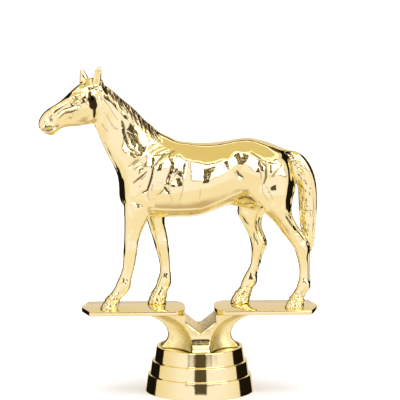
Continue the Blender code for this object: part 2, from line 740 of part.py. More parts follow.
def lock_relief(spots, locks, width):
    """Rounded strands: highest along their middles, thinning towards their tips."""
    relief = np.zeros(len(spots))
    for line in locks:
        distance, share = along_line(spots, line)
        reach = width * np.sqrt(np.clip(1.0 - share, 0.0, 1.0) * 0.9 + 0.1)
        relief = np.maximum(relief, np.sqrt(np.clip(1 - (distance / reach) ** 2, 0, 1)))
    return relief


def carved(mesh):
    """Carves muscles, face, mane and tail into the skin."""
    points = points_of(mesh)
    normals = normals_of(mesh)
    spots = side_view(mesh)
    side = points[:, 1] / SQUARE_X
    push = raised_strokes(spots, side, normals[:, 1])
    upper = (spots[:, 0] < -30) & (spots[:, 0] > -100) & (spots[:, 1] > 150)
    mane = np.zeros(len(spots))
    mane[upper] = lock_relief(spots[upper], list(mane_locks(MANE_LOCKS)), LOCK_WIDTH)
    push += MANE_LIFT * mane * eased(-normals[:, 1], -0.2, 0.4) * eased(-side, -3.5, -1.0)
    hind = (spots[:, 0] > 86) & (np.abs(side) < 9.5) & (spots[:, 1] > 50)
    tail = np.zeros(len(spots))
    tail[hind] = lock_relief(spots[hind], list(tail_locks(TAIL_LOCKS)), LOCK_WIDTH) - 0.5
    push += TAIL_LIFT * tail
    set_points(mesh, points + normals * push[:, None] * SQUARE_X)


def build_horse():
    """The horse alone, standing on the plates' top."""
    skin = fused(horse_forms(), SCULPT_VOXEL)
    smoothed(skin, 8, EVEN_OUT)
    melted(skin)
    carved(skin)
    smoothed(skin, 3, EVEN_OUT)
    return new_object("horse_figure", skin)


def build_figure():
    """Horse, plates and bracket as the one moulding they are."""
    foot = pocket_floor() + SEAT_GAP
    underside = foot + BRACKET_LEVELS[-1][0]
    ground = underside + PLATE_THICKNESS
    horse = build_horse()
    ratio = HORSE_TRIANGLES / (2 * len(horse.data.polygons))
    horse.modifiers.new("facets", "DECIMATE").ratio = ratio
    settle(horse)
    horse.data.transform(Matrix.Translation((0, 0, ground - JOIN_OVERLAP / 2)))
    middle = (PLATE_LENGTH + PLATE_GAP) / 2
    plates = [
        prism("front plate", plate_outline(-middle, -1), underside, ground),
        prism("rear plate", plate_outline(middle, 1), underside, ground),
    ]
    combine(horse, [*plates, build_bracket(foot)], "UNION")
    return horse


def main():
    """Builds both pieces and sets the origin under the middle of the whole length."""
    clear_scene()
    pieces = [build_figure(), build_base()]
    reach = points_of(pieces[0].data)[:, 0]
    shift = -(reach.min() + reach.max()) / 2
    for piece in pieces:
        piece.data.transform(Matrix.Translation((shift, 0, 0)))
        piece.data.materials.clear()
        piece.data.materials.append(gold_material(f"{piece.name} gold"))
        for polygon in piece.data.polygons:
            polygon.use_smooth = True
            polygon.material_index = 0


main()
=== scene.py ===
"""The horse trophy, dressed: sculpted and plated horse, bevelled plates and bracket, turned base, studio."""

import math

import bmesh
import bpy
import numpy as np
from mathutils import Matrix, Vector


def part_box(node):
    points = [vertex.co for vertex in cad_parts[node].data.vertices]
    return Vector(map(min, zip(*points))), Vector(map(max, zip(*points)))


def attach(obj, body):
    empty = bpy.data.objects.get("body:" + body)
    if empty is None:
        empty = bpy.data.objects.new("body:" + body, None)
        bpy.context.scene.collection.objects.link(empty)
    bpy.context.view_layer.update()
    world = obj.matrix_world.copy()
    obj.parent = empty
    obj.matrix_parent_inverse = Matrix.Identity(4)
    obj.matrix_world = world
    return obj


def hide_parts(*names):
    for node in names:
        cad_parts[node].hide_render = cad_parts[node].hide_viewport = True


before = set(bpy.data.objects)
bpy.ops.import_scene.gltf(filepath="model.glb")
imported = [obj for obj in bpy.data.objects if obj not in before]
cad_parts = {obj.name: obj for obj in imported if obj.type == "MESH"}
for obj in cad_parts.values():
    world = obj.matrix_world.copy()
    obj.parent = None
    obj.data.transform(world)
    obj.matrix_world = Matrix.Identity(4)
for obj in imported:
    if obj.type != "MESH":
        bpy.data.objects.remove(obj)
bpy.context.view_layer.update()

HORSE_HEIGHT = 0.0945

# The frame's own places: the base's axis, and the heights that the pieces stand at
base_low, base_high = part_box("round_base")
figure_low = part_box("horse_figure")[0]
AXIS_X = (base_low[0] + base_high[0]) / 2
FOOT = figure_low[2]
UNDERSIDE = FOOT + 0.0142
PLATE_THICKNESS = 0.0017
GROUND = UNDERSIDE + PLATE_THICKNESS

# The stepped round base, a cup that opens downwards
TIERS = (  # foot radius, top radius and height of each tier, from the floor up
    (0.02095, 0.0199, 0.0068),
    (0.0191, 0.01840, 0.0053),
    (0.0174, 0.0166, 0.0056),
)
EDGE_ROUND = 0.00035
RIM_WIDTH = 0.0009
POCKET_DEPTH = 0.0008
WALL = 0.0018
FLOOR = 0.0017
BOLT_HOLE_RADIUS = 0.00325
BOLT_HOLE_ROOF = 0.0010
BOSS_RADIUS = 0.0062
BOSS_RECESS = 0.0008
RIB_THICKNESS = 0.0014
RIB_RECESS = 0.0015
RIB_COUNT = 4
BASE_SEGMENTS = 192

# The two ground plates, which lie end to end with an open gap between them
PLATE_LENGTH = 0.4222 * HORSE_HEIGHT
PLATE_DEPTH = 0.0216
PLATE_GAP = 0.0112
PLATE_EASE = 0.00028
OUTER_POINT = (0.0028, 0.0028)
INNER_POINT = (0.0034, 0.0080)

# The forked bracket between base and plates: height above its foot, half length of the web, half width and
# depth of the front and rear faces
BRACKET_LEVELS = (
    (0.0000, 0.0151, 0.0033, 0.0128),
    (0.0011, 0.0144, 0.0032, 0.0122),
    (0.0027, 0.0130, 0.0033, 0.0112),
    (0.0044, 0.0123, 0.0036, 0.0107),
    (0.0064, 0.0125, 0.0043, 0.0105),
    (0.0095, 0.0144, 0.0061, 0.0104),
    (0.0119, 0.0185, 0.0086, 0.0105),
    (0.0131, 0.0219, 0.0107, 0.0106),
    (0.0142, 0.0255, 0.0130, 0.0107),
)
WEB_HALF_THICKNESS = 0.0016
NOTCH_FLOOR = 0.0072
NOTCH_SLOPE = (0.0059, 0.0119)
NOTCH_ROUND = 0.0011
BRACKET_EASE = 0.00022

# The horse is drawn on squared paper: 241 squares from sole to ear tip, each a little taller than wide
SQUARES_HIGH = 241.0
SQUARE_Z = HORSE_HEIGHT / SQUARES_HIGH
SQUARE_X = SQUARE_Z * 0.985
SCULPT_VOXEL = 0.00064
RING_POINTS = 96
RING_STEPS = 10
EVEN_OUT = (0.5, -0.53)
SOLE_SINK = 0.00015

# How far carving goes in squares: cuts of folds, mane partings and tail nicks, and swell of blade and hooves
FOLD_CUT = 0.45
PARTING_CUT = 0.5
NICK_CUT = 0.4
BLADE_SWELL = 3
HOOF_ROUGHNESS = 0.42
HIND_EDGE_TURN = 2
FINE_MARGIN = 0.7
BOX_MARGIN = 3

# Stations of a form give two outline points in side view, the sideways middle, the half width and the egg:
# the share by which the first outline point's side is wider. All lengths are in squares, from the base's axis
# and from the ground plates' top.

TRUNK = (
    (-81, 129, -81, 115, 0, 5, 0),
    (-78, 141, -78, 104, 0, 13, 0),
    (-71.5, 155, -71.5, 97, 0, 19, -0.1),
    (-61.5, 166, -61.5, 92.5, 0, 24, -0.15),
    (-49.5, 172, -49.5, 90, 0, 26.5, -0.3),
    (-34.5, 173, -34.5, 89.5, 0, 26.5, -0.35),
    (-21, 166, -21, 89.8, 0, 25.5, -0.25),
    (-8.5, 163.3, -8.5, 89.8, 0, 29, -0.15),
    (2.5, 162.7, 2.5, 91.8, 0, 32, -0.12),
    (13, 163, 13, 95.5, 0, 31, -0.1),
    (25.5, 164.5, 25.5, 100.5, 0, 27.5, -0.05),
    (38.5, 166.7, 38.5, 105.8, 0, 23.5, 0),
    (50.5, 167.2, 50.5, 108.2, 0, 25.5, 0),
    (62.5, 164.7, 62.5, 105, 0, 28.8, 0),
    (74.5, 160.9, 74.5, 105, 0, 29, 0),
    (84.5, 157, 84.5, 109, 0, 24, 0),
    (91.5, 151, 91.5, 115, 0, 15.5, 0),
    (96, 140.5, 96, 126, 0, 6, 0),
)

NECK = (
    (-101, 220, -111.5, 193, 0, 8.4, 0, 0.55, 0.05),
    (-96, 221.6, -106, 184.6, 0, 9.4, -0.1, 0.45, 0.1),
    (-87, 215.8, -102.5, 177, 0, 10, -0.2, 0.42, 0.12),
    (-76.7, 206.9, -99, 169, 0, 10.6, -0.25, 0.42, 0.12),
    (-64.8, 197, -95, 160, 0, 11.9, -0.3, 0.45, 0.06),
    (-55, 186.6, -90.5, 150.5, 0, 14.3, -0.35, 0.55, -0.06),
    (-44.3, 178.2, -85.5, 141, 0, 17.6, -0.4, 0.75, -0.22),
    (-34, 171, -80.5, 127, 0, 20.5, -0.4, 0.95, -0.36),
    (-27.5, 162, -74, 112, 0, 21.5, -0.3, 1, -0.3),
)

HEAD = (
    (-96.5, 221, -98.5, 209, 0, 5, 0),
    (-102.2, 224.5, -99.5, 194, 0, 8.8, 0),
    (-109.3, 225.3, -101.5, 185.5, 0, 10.4, 0.05),
    (-117.8, 222.8, -107.7, 182.7, 0, 11, 0.1),
    (-125.4, 217.3, -115.2, 181.4, 0, 10.2, 0.1),
    (-132.8, 210.7, -122.6, 181, 0, 8.7, 0.1),
    (-140.2, 204.7, -130.6, 180.6, 0, 7.5, 0.1),
    (-148.2, 200, -137.9, 178.3, 0, 7.1, 0.05),
    (-153.9, 195.8, -142.2, 174.8, 0, 7.2, 0),
    (-157.8, 190.8, -146.2, 172.7, 0, 6.9, 0),
    (-159.8, 185.4, -151.4, 173.6, 0, 5.6, 0),
    (-159.6, 181, -156.4, 176.6, 0, 3, 0),
)

FORELOCK = (
    (-95.5, 225, -96.5, 216.5, 0, 2.5, 0),
    (-100, 228.4, -100, 217.5, 0, 3.6, 0),
    (-106, 228.6, -105, 215.5, 0, 4.2, 0),
    (-111.5, 226.2, -110, 213.5, 0, 3.8, 0),
    (-117, 221, -115, 212.5, 0, 2.2, 0),
)

HEAD_POLL = -100.0
HEAD_TURN = math.radians(9)

NEAR_EAR = (
    (-107, 220, -96.8, 220, -5.8, 3.4, 0),
    (-106, 225, -97.1, 224.5, -6.2, 3.5, 0),
    (-105.1, 229.5, -97.2, 229, -6.6, 3.1, 0),
    (-103.9, 234.2, -97.1, 233.7, -7, 2.4, 0),
    (-102.1, 238.6, -97.2, 237.9, -7.2, 1.6, 0),
    (-100, 241, -98.2, 240.6, -7.3, 0.7, 0),
)
FAR_EAR = (
    (-118.8, 217.5, -106.5, 218.5, 5.2, 3.4, 0),
    (-119.2, 223.3, -108, 223.3, 5.6, 3.4, 0),
    (-119, 228.2, -109.6, 227.7, 6, 3, 0),
    (-118.6, 232.6, -112.2, 231.9, 6.4, 2.2, 0),
    (-117.6, 236.2, -114.8, 235.8, 6.6, 1, 0),
)

TAIL = (
    (80.5, 157, 80.5, 145, 0, 4.6, 0),
    (88.5, 156.7, 87.5, 146.7, 0, 5.2, 0),
    (96.5, 154, 92, 143.7, 0, 5.8, 0),
    (104, 149, 95.5, 137.6, 0, 6.6, 0),
    (110, 141, 97.5, 130.1, 0, 7.3, 0),
    (114.3, 131, 97.3, 121.6, 0, 7.8, 0),
    (116.4, 119.4, 98.2, 112.6, 0, 8, 0),
    (117.3, 106.4, 98.6, 101.6, 0, 8, 0),
    (117, 94.4, 99.1, 91.6, -1, 7.7, 0),
    (116.2, 82.4, 99.8, 81.6, -2.5, 7, 0),
    (115.2, 72.4, 101.5, 72.5, -4, 5.8, 0),
    (114.2, 63.4, 105.5, 63.5, -5, 4.4, 0),
    (112, 57, 108.5, 57.5, -5.5, 2.6, 0),
    (110.8, 54, 109.6, 54, -5.5, 1.2, 0),
)

# Stations of a leg, from the top down: height, front outline, rear outline, sideways middle and half width
NEAR_FORELEG = (
    (132, -70, -44, -13, 8),
    (115, -77, -43, -15, 9.8),
    (101.5, -76.2, -46.5, -15.5, 9.8),
    (91.3, -75.5, -51.3, -15.2, 8.8),
    (85, -75.5, -54.3, -15.1, 8),
    (79.3, -75.5, -57.2, -15, 7.2),
    (69.3, -75.8, -60.8, -15, 6.3),
    (62.3, -76.2, -61.9, -15, 6.3),
    (55.3, -76.4, -62.8, -15, 6),
    (49.3, -76.6, -63.9, -15, 5),
    (43.3, -77.2, -65, -15, 4.4),
    (35.3, -79.5, -67.2, -15, 4.3),
    (28.3, -82.7, -68.6, -15, 5),
    (23.3, -84.8, -69.2, -15, 5.4),
    (18.3, -87.8, -72.1, -15, 4.8),
    (14.3, -91.6, -76.1, -15, 4.8),
    (10.3, -94.8, -79.5, -15, 5.6),
    (6.3, -97.3, -80.9, -15, 6.5),
    (0, -100.2, -81.8, -15, 7.6),
)
FAR_FORELEG = (
    (128, -58, -34, 13, 8),
    (113.8, -59.5, -28.5, 15, 9.4),
    (99.8, -57.5, -31, 15.5, 9.2),
    (85.8, -52.7, -34, 15.2, 8),
    (77.8, -50.2, -33.6, 15, 7.1),
    (69.8, -47.7, -31.8, 15, 6.3),
    (62.3, -45.4, -30.7, 15, 6.3),
    (55.3, -43.5, -29.8, 15, 6),
    (49.3, -41.6, -29.4, 15, 5),
    (43.3, -40.1, -29, 15, 4.4),
    (35.8, -39.4, -28.5, 15, 4.3),
    (29.8, -39.7, -28, 15, 4.9),
    (23.8, -41.8, -27.5, 15, 5.4),
    (18.8, -43.2, -28.2, 15, 5),
    (14.8, -45.4, -30.2, 15, 4.9),
    (10.3, -48.1, -32, 15, 5.6),
    (5.8, -50.3, -32.6, 15, 6.6),
    (0, -51.9, -32.8, 15, 7.6),
)
NEAR_HIND_LEG = (
    (150, 56, 86, -11, 8),
    (138, 50.5, 93.5, -11.5, 14.5),
    (125, 49.5, 96, -12.5, 16.5),
    (118, 49.5, 95.3, -13.5, 16.3),
    (112.2, 50.5, 92.6, -15.3, 14.4),
    (102.2, 56.5, 91.2, -16.7, 12),
    (94.2, 65.5, 91.4, -16.5, 10.8),
    (87.2, 72.5, 94.2, -16.2, 9.3),
    (80.2, 78.2, 98.4, -16, 8),
    (74.2, 82.8, 103.4, -15.7, 7),
    (68.2, 87.5, 107, -15.5, 6.6),
    (62.2, 91.9, 108.8, -15.3, 6.5),
    (55.2, 95.1, 109.4, -15, 5.9),
    (47.2, 97.2, 109.6, -15, 4.8),
    (39.2, 98.7, 109.6, -15, 4.4),
    (31.2, 98.5, 109.8, -15, 4.6),
    (25.2, 97, 110, -15, 5.4),
    (20.2, 95.4, 109.8, -15, 5.3),
    (16.2, 92.8, 107, -15, 4.9),
    (12.2, 90, 104.4, -15, 5.1),
    (8.2, 87.3, 103.6, -15, 5.8),
    (4.2, 85.3, 103.8, -15, 6.7),
    (0, 83.7, 104.2, -15, 7.6),
)
FAR_HIND_LEG = (
    (140, 54, 88, 12, 8),
    (125, 44, 91, 14.5, 11.5),
    (112.8, 38.5, 87, 15.5, 12),
    (100.8, 36.3, 77, 16, 11),
    (90.8, 38.2, 66.9, 16, 9.5),
    (82.8, 42, 63, 15.7, 8.2),
    (74.8, 46.3, 63.4, 15.4, 7),
    (66.8, 50, 66.6, 15.2, 6.6),
    (59.8, 51.7, 68.6, 15, 6.5),
    (52.8, 52.6, 66.4, 15, 5.8),
    (44.8, 52.4, 63.3, 15, 4.7),
    (36.8, 50.7, 61.4, 15, 4.4),
    (29.8, 46.8, 59.1, 15, 4.6),
    (22.8, 43.2, 58.6, 15, 5.4),
    (18.8, 42.2, 57.6, 15, 5.2),
    (14.8, 39.8, 54.2, 15, 4.9),
    (9.8, 35.3, 52.8, 15, 5.4),
    (4.8, 32.6, 51.4, 15, 6.6),
    (0, 31.1, 51.2, 15, 7.6),
)

SHEATH = (
    (26, 104, 26, 99, 0, 2.5, 0),
    (34, 106, 35, 97.5, 0, 3.8, 0),
    (44, 108, 46, 97, 0, 4.4, 0),
    (54, 110, 56, 98.5, 0, 4.2, 0),
    (61, 112, 62, 103, 0, 3, 0),
)

# Spots of the side view round which the forms melt into each other: where and how far
JOINS = (
    (-44, 160, 16),
    (-62, 140, 16),
    (-78, 124, 10),
    (-60, 112, 16),
    (-42, 104, 12),
    (-50, 118, 14),
    (-28, 168, 12),
    (45, 116, 14),
    (58, 140, 18),
    (80, 148, 14),
    (88, 130, 12),
    (-100, 200, 6),
    (-98, 186, 5),
    (-100, 219, 5),
    (36, 102, 9),
    (56, 106, 9),
)
JOIN_ROUNDS = 75

# Carving on both flanks. A stroke gives its width, its height (below zero it is cut in) and a line of points
# in side view, all in squares.
STROKES = (
    # eye: socket, ball, upper and lower lid, brow and the hollow above
    (3.2, -0.5, ((-124.5, 205.6), (-119.5, 207.4))),
    (1.6, 0.8, ((-122.6, 206.4), (-121.4, 206.8))),
    (0.8, 0.5, ((-125.6, 206.2), (-123.4, 208.7), (-120.4, 209.2), (-117.6, 207.2))),
    (0.7, 0.3, ((-124.8, 204.2), (-122, 203.6), (-118.8, 205.2))),
    (2.2, 0.9, ((-128.5, 208.5), (-124.5, 211.5), (-118.5, 212.6))),
    (2.4, -0.8, ((-113.5, 216.5), (-111, 217.5))),
    # face bone, hollow along the nose, cheek and jaw
    (1.5, 1.2, ((-121, 199.8), (-127, 198), (-134, 196.4), (-139.5, 191.6))),
    (3.6, 1.3, ((-127, 209), (-133, 205), (-139, 201), (-145, 196.6))),
    (7, 0.9, ((-108, 199), (-111, 194))),
    (2, 0.9, ((-105, 212), (-104.2, 204), (-103.6, 196), (-105, 190), (-110.5, 186.2))),
    (3, -0.5, ((-121, 191.5), (-129, 188.5), (-136, 186))),
    (1, 0.6, ((-113, 184.2), (-124, 184.2), (-134, 183.4), (-141, 181))),
    (0.8, -0.5, ((-113, 182.4), (-124, 182.6), (-134, 181.6))),
    # muzzle: nostril and its rims, mouth, chin
    (1.2, -1.2, ((-150.2, 190.4), (-149, 188.8), (-149.4, 187))),
    (1, 0.6, ((-152.2, 192), (-153.2, 189.2), (-152, 186.4), (-149.2, 184.8))),
    (1, 0.6, ((-149, 192.6), (-146.4, 190.2), (-146.8, 187))),
    (0.7, -0.8, ((-158.5, 178.6), (-153.5, 178.8), (-148.5, 179.4), (-144, 181.6), (-140.5, 183.6))),
    (1.1, 0.6, ((-156.5, 181.4), (-151, 181.6), (-145.5, 183.4))),
    (1.2, 0.5, ((-153.5, 176.4), (-148, 176.8), (-143.5, 178.6))),
    # throat and jugular groove
    (2, -1.5, ((-99.6, 213), (-98.2, 206), (-98, 198), (-99.6, 190), (-102.6, 184.6))),
    # neck base: the muscle's end, and the folds that fan out from it
    (2, -1.2, ((-68.5, 144.5), (-64.5, 148), (-60.5, 150.5))),
    (0.9, 0.35, ((-60, 151.5), (-65, 155), (-69.5, 159.5))),
    (0.9, 0.35, ((-59, 153.5), (-63, 157.5), (-66, 162))),
    (0.9, 0.30, ((-60.5, 149), (-65.5, 151.5), (-70.5, 154.5))),
    # withers: streaks that run out over the blade
    (0.7, 0.35, ((-47, 151.5), (-38, 156.5), (-27.5, 160))),
    (0.6, 0.25, ((-50, 154), (-42.5, 158.5), (-35, 161))),
    (0.6, 0.25, ((-51.5, 157.5), (-47, 161.5), (-42.5, 164))),
    # neck and shoulder: full under the mane and under the withers
    (8, 0.7, ((-92, 207), (-82, 198), (-74, 190))),
    # shoulder: blade, its hollows, point, upper arm, elbow
    (4.5, 0.5, ((-44.5, 166), (-52, 152), (-61, 140), (-69, 130.5))),
    (2, -0.3, ((-46.5, 143.2), (-48.5, 134.2), (-50.5, 128.2), (-53.5, 120.2), (-57.5, 118.2))),
    (2, -0.5, ((-37.5, 153.2), (-41, 149), (-44.5, 144.2))),
    (4, 0.5, ((-40.5, 142), (-42, 132), (-43, 122))),
    (3, 0.7, ((-26.5, 152.6), (-26, 151))),
    (2, -0.3, ((-29.5, 146), (-31, 138.5), (-34.5, 128.5))),
    (2.2, -0.9, ((-34.5, 122.5), (-32.5, 120))),
    (1.4, 0.4, ((-25.5, 136), (-21.5, 140), (-18.5, 138), (-17.5, 131))),
    (4, 0.6, ((-24.5, 124), (-24.5, 115))),
    (3.4, 0.9, ((-73, 128.5), (-70.5, 125))),
    (4, 0.7, ((-67, 117), (-60, 121))),
    (2.6, 0.9, ((-52.5, 109.5), (-50.5, 104.5))),
    (1.7, -0.6, ((-72, 111.5), (-66, 108.5), (-58, 106))),
    (1.6, -0.7, ((-46.5, 111), (-44.5, 103), (-46, 97))),
    (1.5, -0.6, ((-69.5, 104), (-67.5, 92), (-68, 80))),
    (3.4, 0.7, ((-62, 102), (-63, 90), (-66, 79))),
    # barrel: the edge of the ribs, one thin fold, and the moulded line under the belly
    (5.5, 0.45, ((-9.5, 147), (-9, 134), (-8.5, 120))),
    (0.9, -0.4, ((-0.5, 121), (-1.5, 112))),
    (1, 0.9, (
        (-49.5, 100.6), (-39.5, 100.4), (-25, 99.6), (-11.5, 100.2),
        (0.5, 101.5), (10.5, 105), (22.5, 109.2), (40.5, 116.5),
    )),
    (1, -0.8, (
        (-47.5, 98.2), (-25, 97.2), (-11.5, 97.8), (0.5, 99),
        (10.5, 102.5), (22.5, 106.7), (40.5, 114),
    )),
    # flank: the hollow before the thigh
    (4.4, -1.5, ((38.5, 139), (39.5, 134), (42.5, 126))),
    (1.6, -1, ((35, 138.5), (38, 133), (42.5, 130.5))),
    (2.2, 0.7, ((27, 150), (29.5, 141))),
    # hip, thigh, stifle, gaskin
    (3.6, 1.3, ((37, 157), (42.5, 155.5))),
    (2.2, 0.7, ((52, 153), (58, 149.5), (64, 147))),
    (2, -0.7, ((60.5, 146.8), (64.5, 143.8), (64.5, 132.8), (62, 126))),
    (3.4, 0.8, ((70.5, 144), (69.5, 137))),
    (4.6, 0.7, ((52.5, 136), (53, 128), (56, 117))),
    (1.4, -0.9, ((38, 108.5), (45, 112), (53, 108), (60, 103))),
    (1.2, 0.8, ((42, 104.5), (49, 106.5), (56, 103))),
    (2.6, 1, ((51.5, 114.5), (56, 109.5))),
    (1.6, -0.5, ((85.6, 93.6), (88.5, 89.5), (92.3, 85))),
    (1.8, 0.7, ((82, 101), (88.5, 93.8), (93.5, 88))),
    (2.4, 0.7, ((70.5, 104), (78, 94), (86, 83))),
)

# Contours that the skin turns sharply towards: how far in the turn starts, how deep it goes, between which
# distances from the middle it fades in, and the contour's points from the top down
CHAMFERS = (
    (7, 1.7, (8, 10), ((90.5, 156), (92, 148), (93, 138), (92.5, 128), (90, 118), (88.5, 108), (89.5, 98))),
    (6, 1.5, (2, 3), ((-103, 181), (-99, 169), (-95, 160), (-90.5, 150.5), (-85.5, 141), (-82, 130))),
    (7, 1.4, (2, 3), ((-82, 132), (-81.5, 124), (-80, 114), (-76, 103))),
)

# Narrow folds, cut in and painted dark as shade: half width, strength of the painted shade and line, in
# squares
PAINTED_SHADE_FOLDS = (
    # eye and wrinkles round it, face bone, nostril, mouth, jaw
    (0.5, 0.9, ((-125.2, 205.4), (-123.2, 207.8), (-120.6, 208.3), (-118, 206.4))),
    (0.35, 0.6, ((-124, 204.9), (-121.4, 204.5), (-119, 205.8))),
    (0.5, 0.7, ((-122.3, 206.6), (-121.6, 206.8))),
    (0.5, 0.6, ((-128.6, 204.8), (-126.6, 204.4), (-125, 205))),
    (0.5, 0.5, ((-120.5, 203.6), (-118.2, 201.4))),
    (0.6, 0.9, ((-122.4, 198.4), (-127.5, 196.4), (-134.5, 194.9), (-139.5, 190.4))),
    (0.7, 0.9, ((-130.8, 196.8), (-127.2, 196.2), (-123.2, 198.2))),
    (0.4, 0.6, ((-130, 190.9), (-128, 189.4), (-126.5, 190.9))),
    (0.4, 0.4, ((-124.5, 195.4), (-126, 192.4))),
    (0.6, 0.9, ((-146.6, 189.4), (-145.8, 188))),
    (0.6, 0.9, ((-148.8, 191.2), (-147.4, 189.2), (-148.2, 187))),
    (0.4, 0.7, ((-154.5, 187), (-152.5, 186.8))),
    (0.6, 0.9, ((-153.5, 181.9), (-150, 182.2), (-147.4, 182.8), (-147, 181.8))),
    (0.5, 0.6, ((-157.5, 177.8), (-150, 178.2), (-144, 180.8), (-139.5, 183.4))),
    (0.4, 0.35, ((-139, 183), (-128, 183.4), (-115, 183.6), (-104.5, 185))),
    # behind the cheek: broad patches of painted shade
    (2, 1, ((-109.6, 215.5), (-108.4, 210), (-107.2, 204.5))),
    (4.2, 1, ((-108.6, 211.5), (-106.8, 207), (-105, 202.5))),
    (4.2, 1, ((-107.4, 206), (-105.6, 202.5), (-104.2, 199))),
    (1.5, 1, ((-105.2, 202), (-104.6, 196), (-105, 190))),
    (0.5, 0.6, ((-115.5, 210.4), (-112.5, 209), (-111.5, 204))),
    (0.5, 0.7, ((-110, 217), (-106.5, 218.6), (-103, 217.4))),
    (0.9, 0.9, ((-98.6, 220.6), (-98.2, 223.4))),
    (1.4, 1, ((-96.8, 221.5), (-94.6, 216.8), (-91.6, 212))),
    # neck
    (0.35, 0.45, ((-96.5, 210), (-90.5, 202), (-86.5, 195), (-81.5, 187.5))),
    (0.4, 0.6, ((-95.5, 194.5), (-92.5, 193.5), (-89.5, 186.5), (-85.5, 180.5), (-81.5, 178.5))),
    (0.4, 0.6, ((-97.5, 184.5), (-94.5, 179.5), (-91, 175.5))),
    (1.4, 0.85, ((-77.5, 187), (-76, 182), (-75, 177.5))),
    (0.8, 0.9, ((-76, 180), (-73.5, 171.5), (-71.5, 164), (-68.5, 158.5))),
    (0.9, 0.5, ((-72.5, 176.5), (-67.5, 173.5), (-63.5, 166), (-59.5, 163.5))),
    (0.9, 0.55, ((-63.5, 168.5), (-61, 163), (-62, 158.5))),
    (0.6, 0.8, ((-70.5, 161.5), (-66, 158.5), (-62.5, 155.5))),
    (0.6, 0.8, ((-69.5, 157), (-66.5, 155), (-64, 154))),
    (1.3, 0.6, ((-68, 144.8), (-64.5, 147.8), (-60.8, 150))),
    (0.5, 0.8, ((-66, 140.5), (-61, 144), (-57, 144.6))),
    (0.5, 0.7, ((-61, 136.5), (-58.8, 140.5), (-57, 143))),
    # shoulder
    (0.7, 1, ((-53.3, 138.6), (-56, 136.2), (-60.5, 132.4), (-66.5, 127.2))),
    (1, 1, ((-46.3, 144), (-48.3, 134.5), (-50.3, 128.2), (-52.8, 120.5), (-57.5, 118.2))),
    (1.1, 0.8, ((-37, 153.4), (-41.5, 149.2), (-45, 143.8))),
    (0.6, 0.8, ((-47, 153.4), (-39.5, 153.6), (-31.5, 155), (-25.5, 156.6))),
    (0.9, 0.9, (
        (-30.5, 155), (-31.5, 150.2), (-28.7, 144.8),
        (-30.5, 138.2), (-33, 132.2), (-34.5, 127.6),
    )),
    (1.3, 1, ((-36, 124.2), (-34, 120.6), (-31.2, 118))),
    (0.5, 0.8, ((-36, 122.4), (-39.5, 118.6), (-43.5, 116.2))),
    (0.8, 0.7, ((-25.8, 134.6), (-22.5, 138), (-19.5, 138), (-18, 134.3), (-17.4, 129.8))),
    (0.4, 0.45, ((-17.4, 129), (-17.5, 121), (-21.5, 108.4))),
    (0.4, 0.4, ((-31.5, 125), (-30, 115), (-27.5, 108))),
    (0.4, 0.5, ((-47.5, 127), (-48.5, 120))),
    (0.4, 0.45, ((-51.5, 124), (-52.5, 114), (-49.5, 109))),
    (0.7, 0.7, ((-23, 152.5), (-27, 147))),
    # barrel and belly
    (0.4, 0.45, ((-0.5, 121), (-1.5, 112))),
    (0.55, 0.6, (
        (-48, 99), (-25, 98), (-11.5, 98.6), (0.5, 99.8),
        (10.5, 103.4), (22.5, 107.6), (40.5, 115),
    )),
    # groin
    (0.7, 0.8, ((38, 107.5), (45, 110.5), (52, 107.5), (60, 102))),
    (0.5, 0.8, ((44, 101.5), (51, 103.5), (57, 100))),
    # flank, thigh, gaskin
    (1.2, 0.9, ((36, 139), (38.5, 134.5), (42, 131.5))),
    (0.9, 0.9, ((60.3, 146.8), (64.3, 143.8), (64.4, 133), (62, 126))),
    (0.6, 0.8, ((50.5, 156.6), (54, 154), (60, 149.8), (67, 147.2), (76, 145.8))),
    (1.2, 0.6, ((81.5, 145), (76, 139), (70, 133.2))),
    (0.45, 0.7, ((57, 141), (59.6, 136), (59.4, 130.5))),
    (0.4, 0.5, ((64.5, 124.5), (67.5, 119), (71.5, 110.8))),
    (0.4, 0.4, ((60.5, 124.5), (61.5, 118), (66.5, 109.5))),
    (0.6, 1, ((85.6, 93.8), (88.5, 89.7), (92.3, 85.2))),
)
# The same on the far hind leg's inner side
INNER_PAINTED_SHADE_FOLDS = (
    (0.7, 1, ((43, 87), (45.5, 83), (48.5, 79.2))),
    (0.6, 1, ((54.2, 71.5), (55, 67), (58.5, 61))),
    (0.5, 0.6, ((58.5, 82), (58, 75), (58.8, 70))),
    (0.7, 0.7, ((-49, 88), (-46.5, 80))),
)

# Strokes on the far legs' inner sides, which show between the near legs
INNER_STROKES = (
    (1.2, -1, ((43, 87), (48.5, 79.2))),
    (1.2, -1, ((54, 71), (58.5, 61.2))),
    (1.2, -0.7, ((58.5, 82), (58, 75), (58.8, 70))),
    (2, 0.8, ((47, 90), (52.5, 80))),
    (1, -0.6, ((-43, 84), (-40.5, 76))),
    (1.6, 0.6, ((-39, 92), (-38.5, 80))),
    (1, -0.6, ((-37, 74), (-35.5, 66))),
)

# The near ear's hollow and the far ear's, cut from the side that the shell opens to
EAR_HOLLOWS = (
    (-1, 1.5, -2, ((-102.6, 223), (-101.7, 229), (-100.2, 235))),
    (-1, 0.8, 0.6, ((-105, 223), (-104.4, 230), (-102, 236.5))),
    (-1, 0.8, 0.6, ((-99.8, 223), (-99, 230), (-98.8, 236.5))),
    (1, 1.5, -1.4, ((-114.7, 221.5), (-115.1, 227), (-115.7, 231.5))),
)

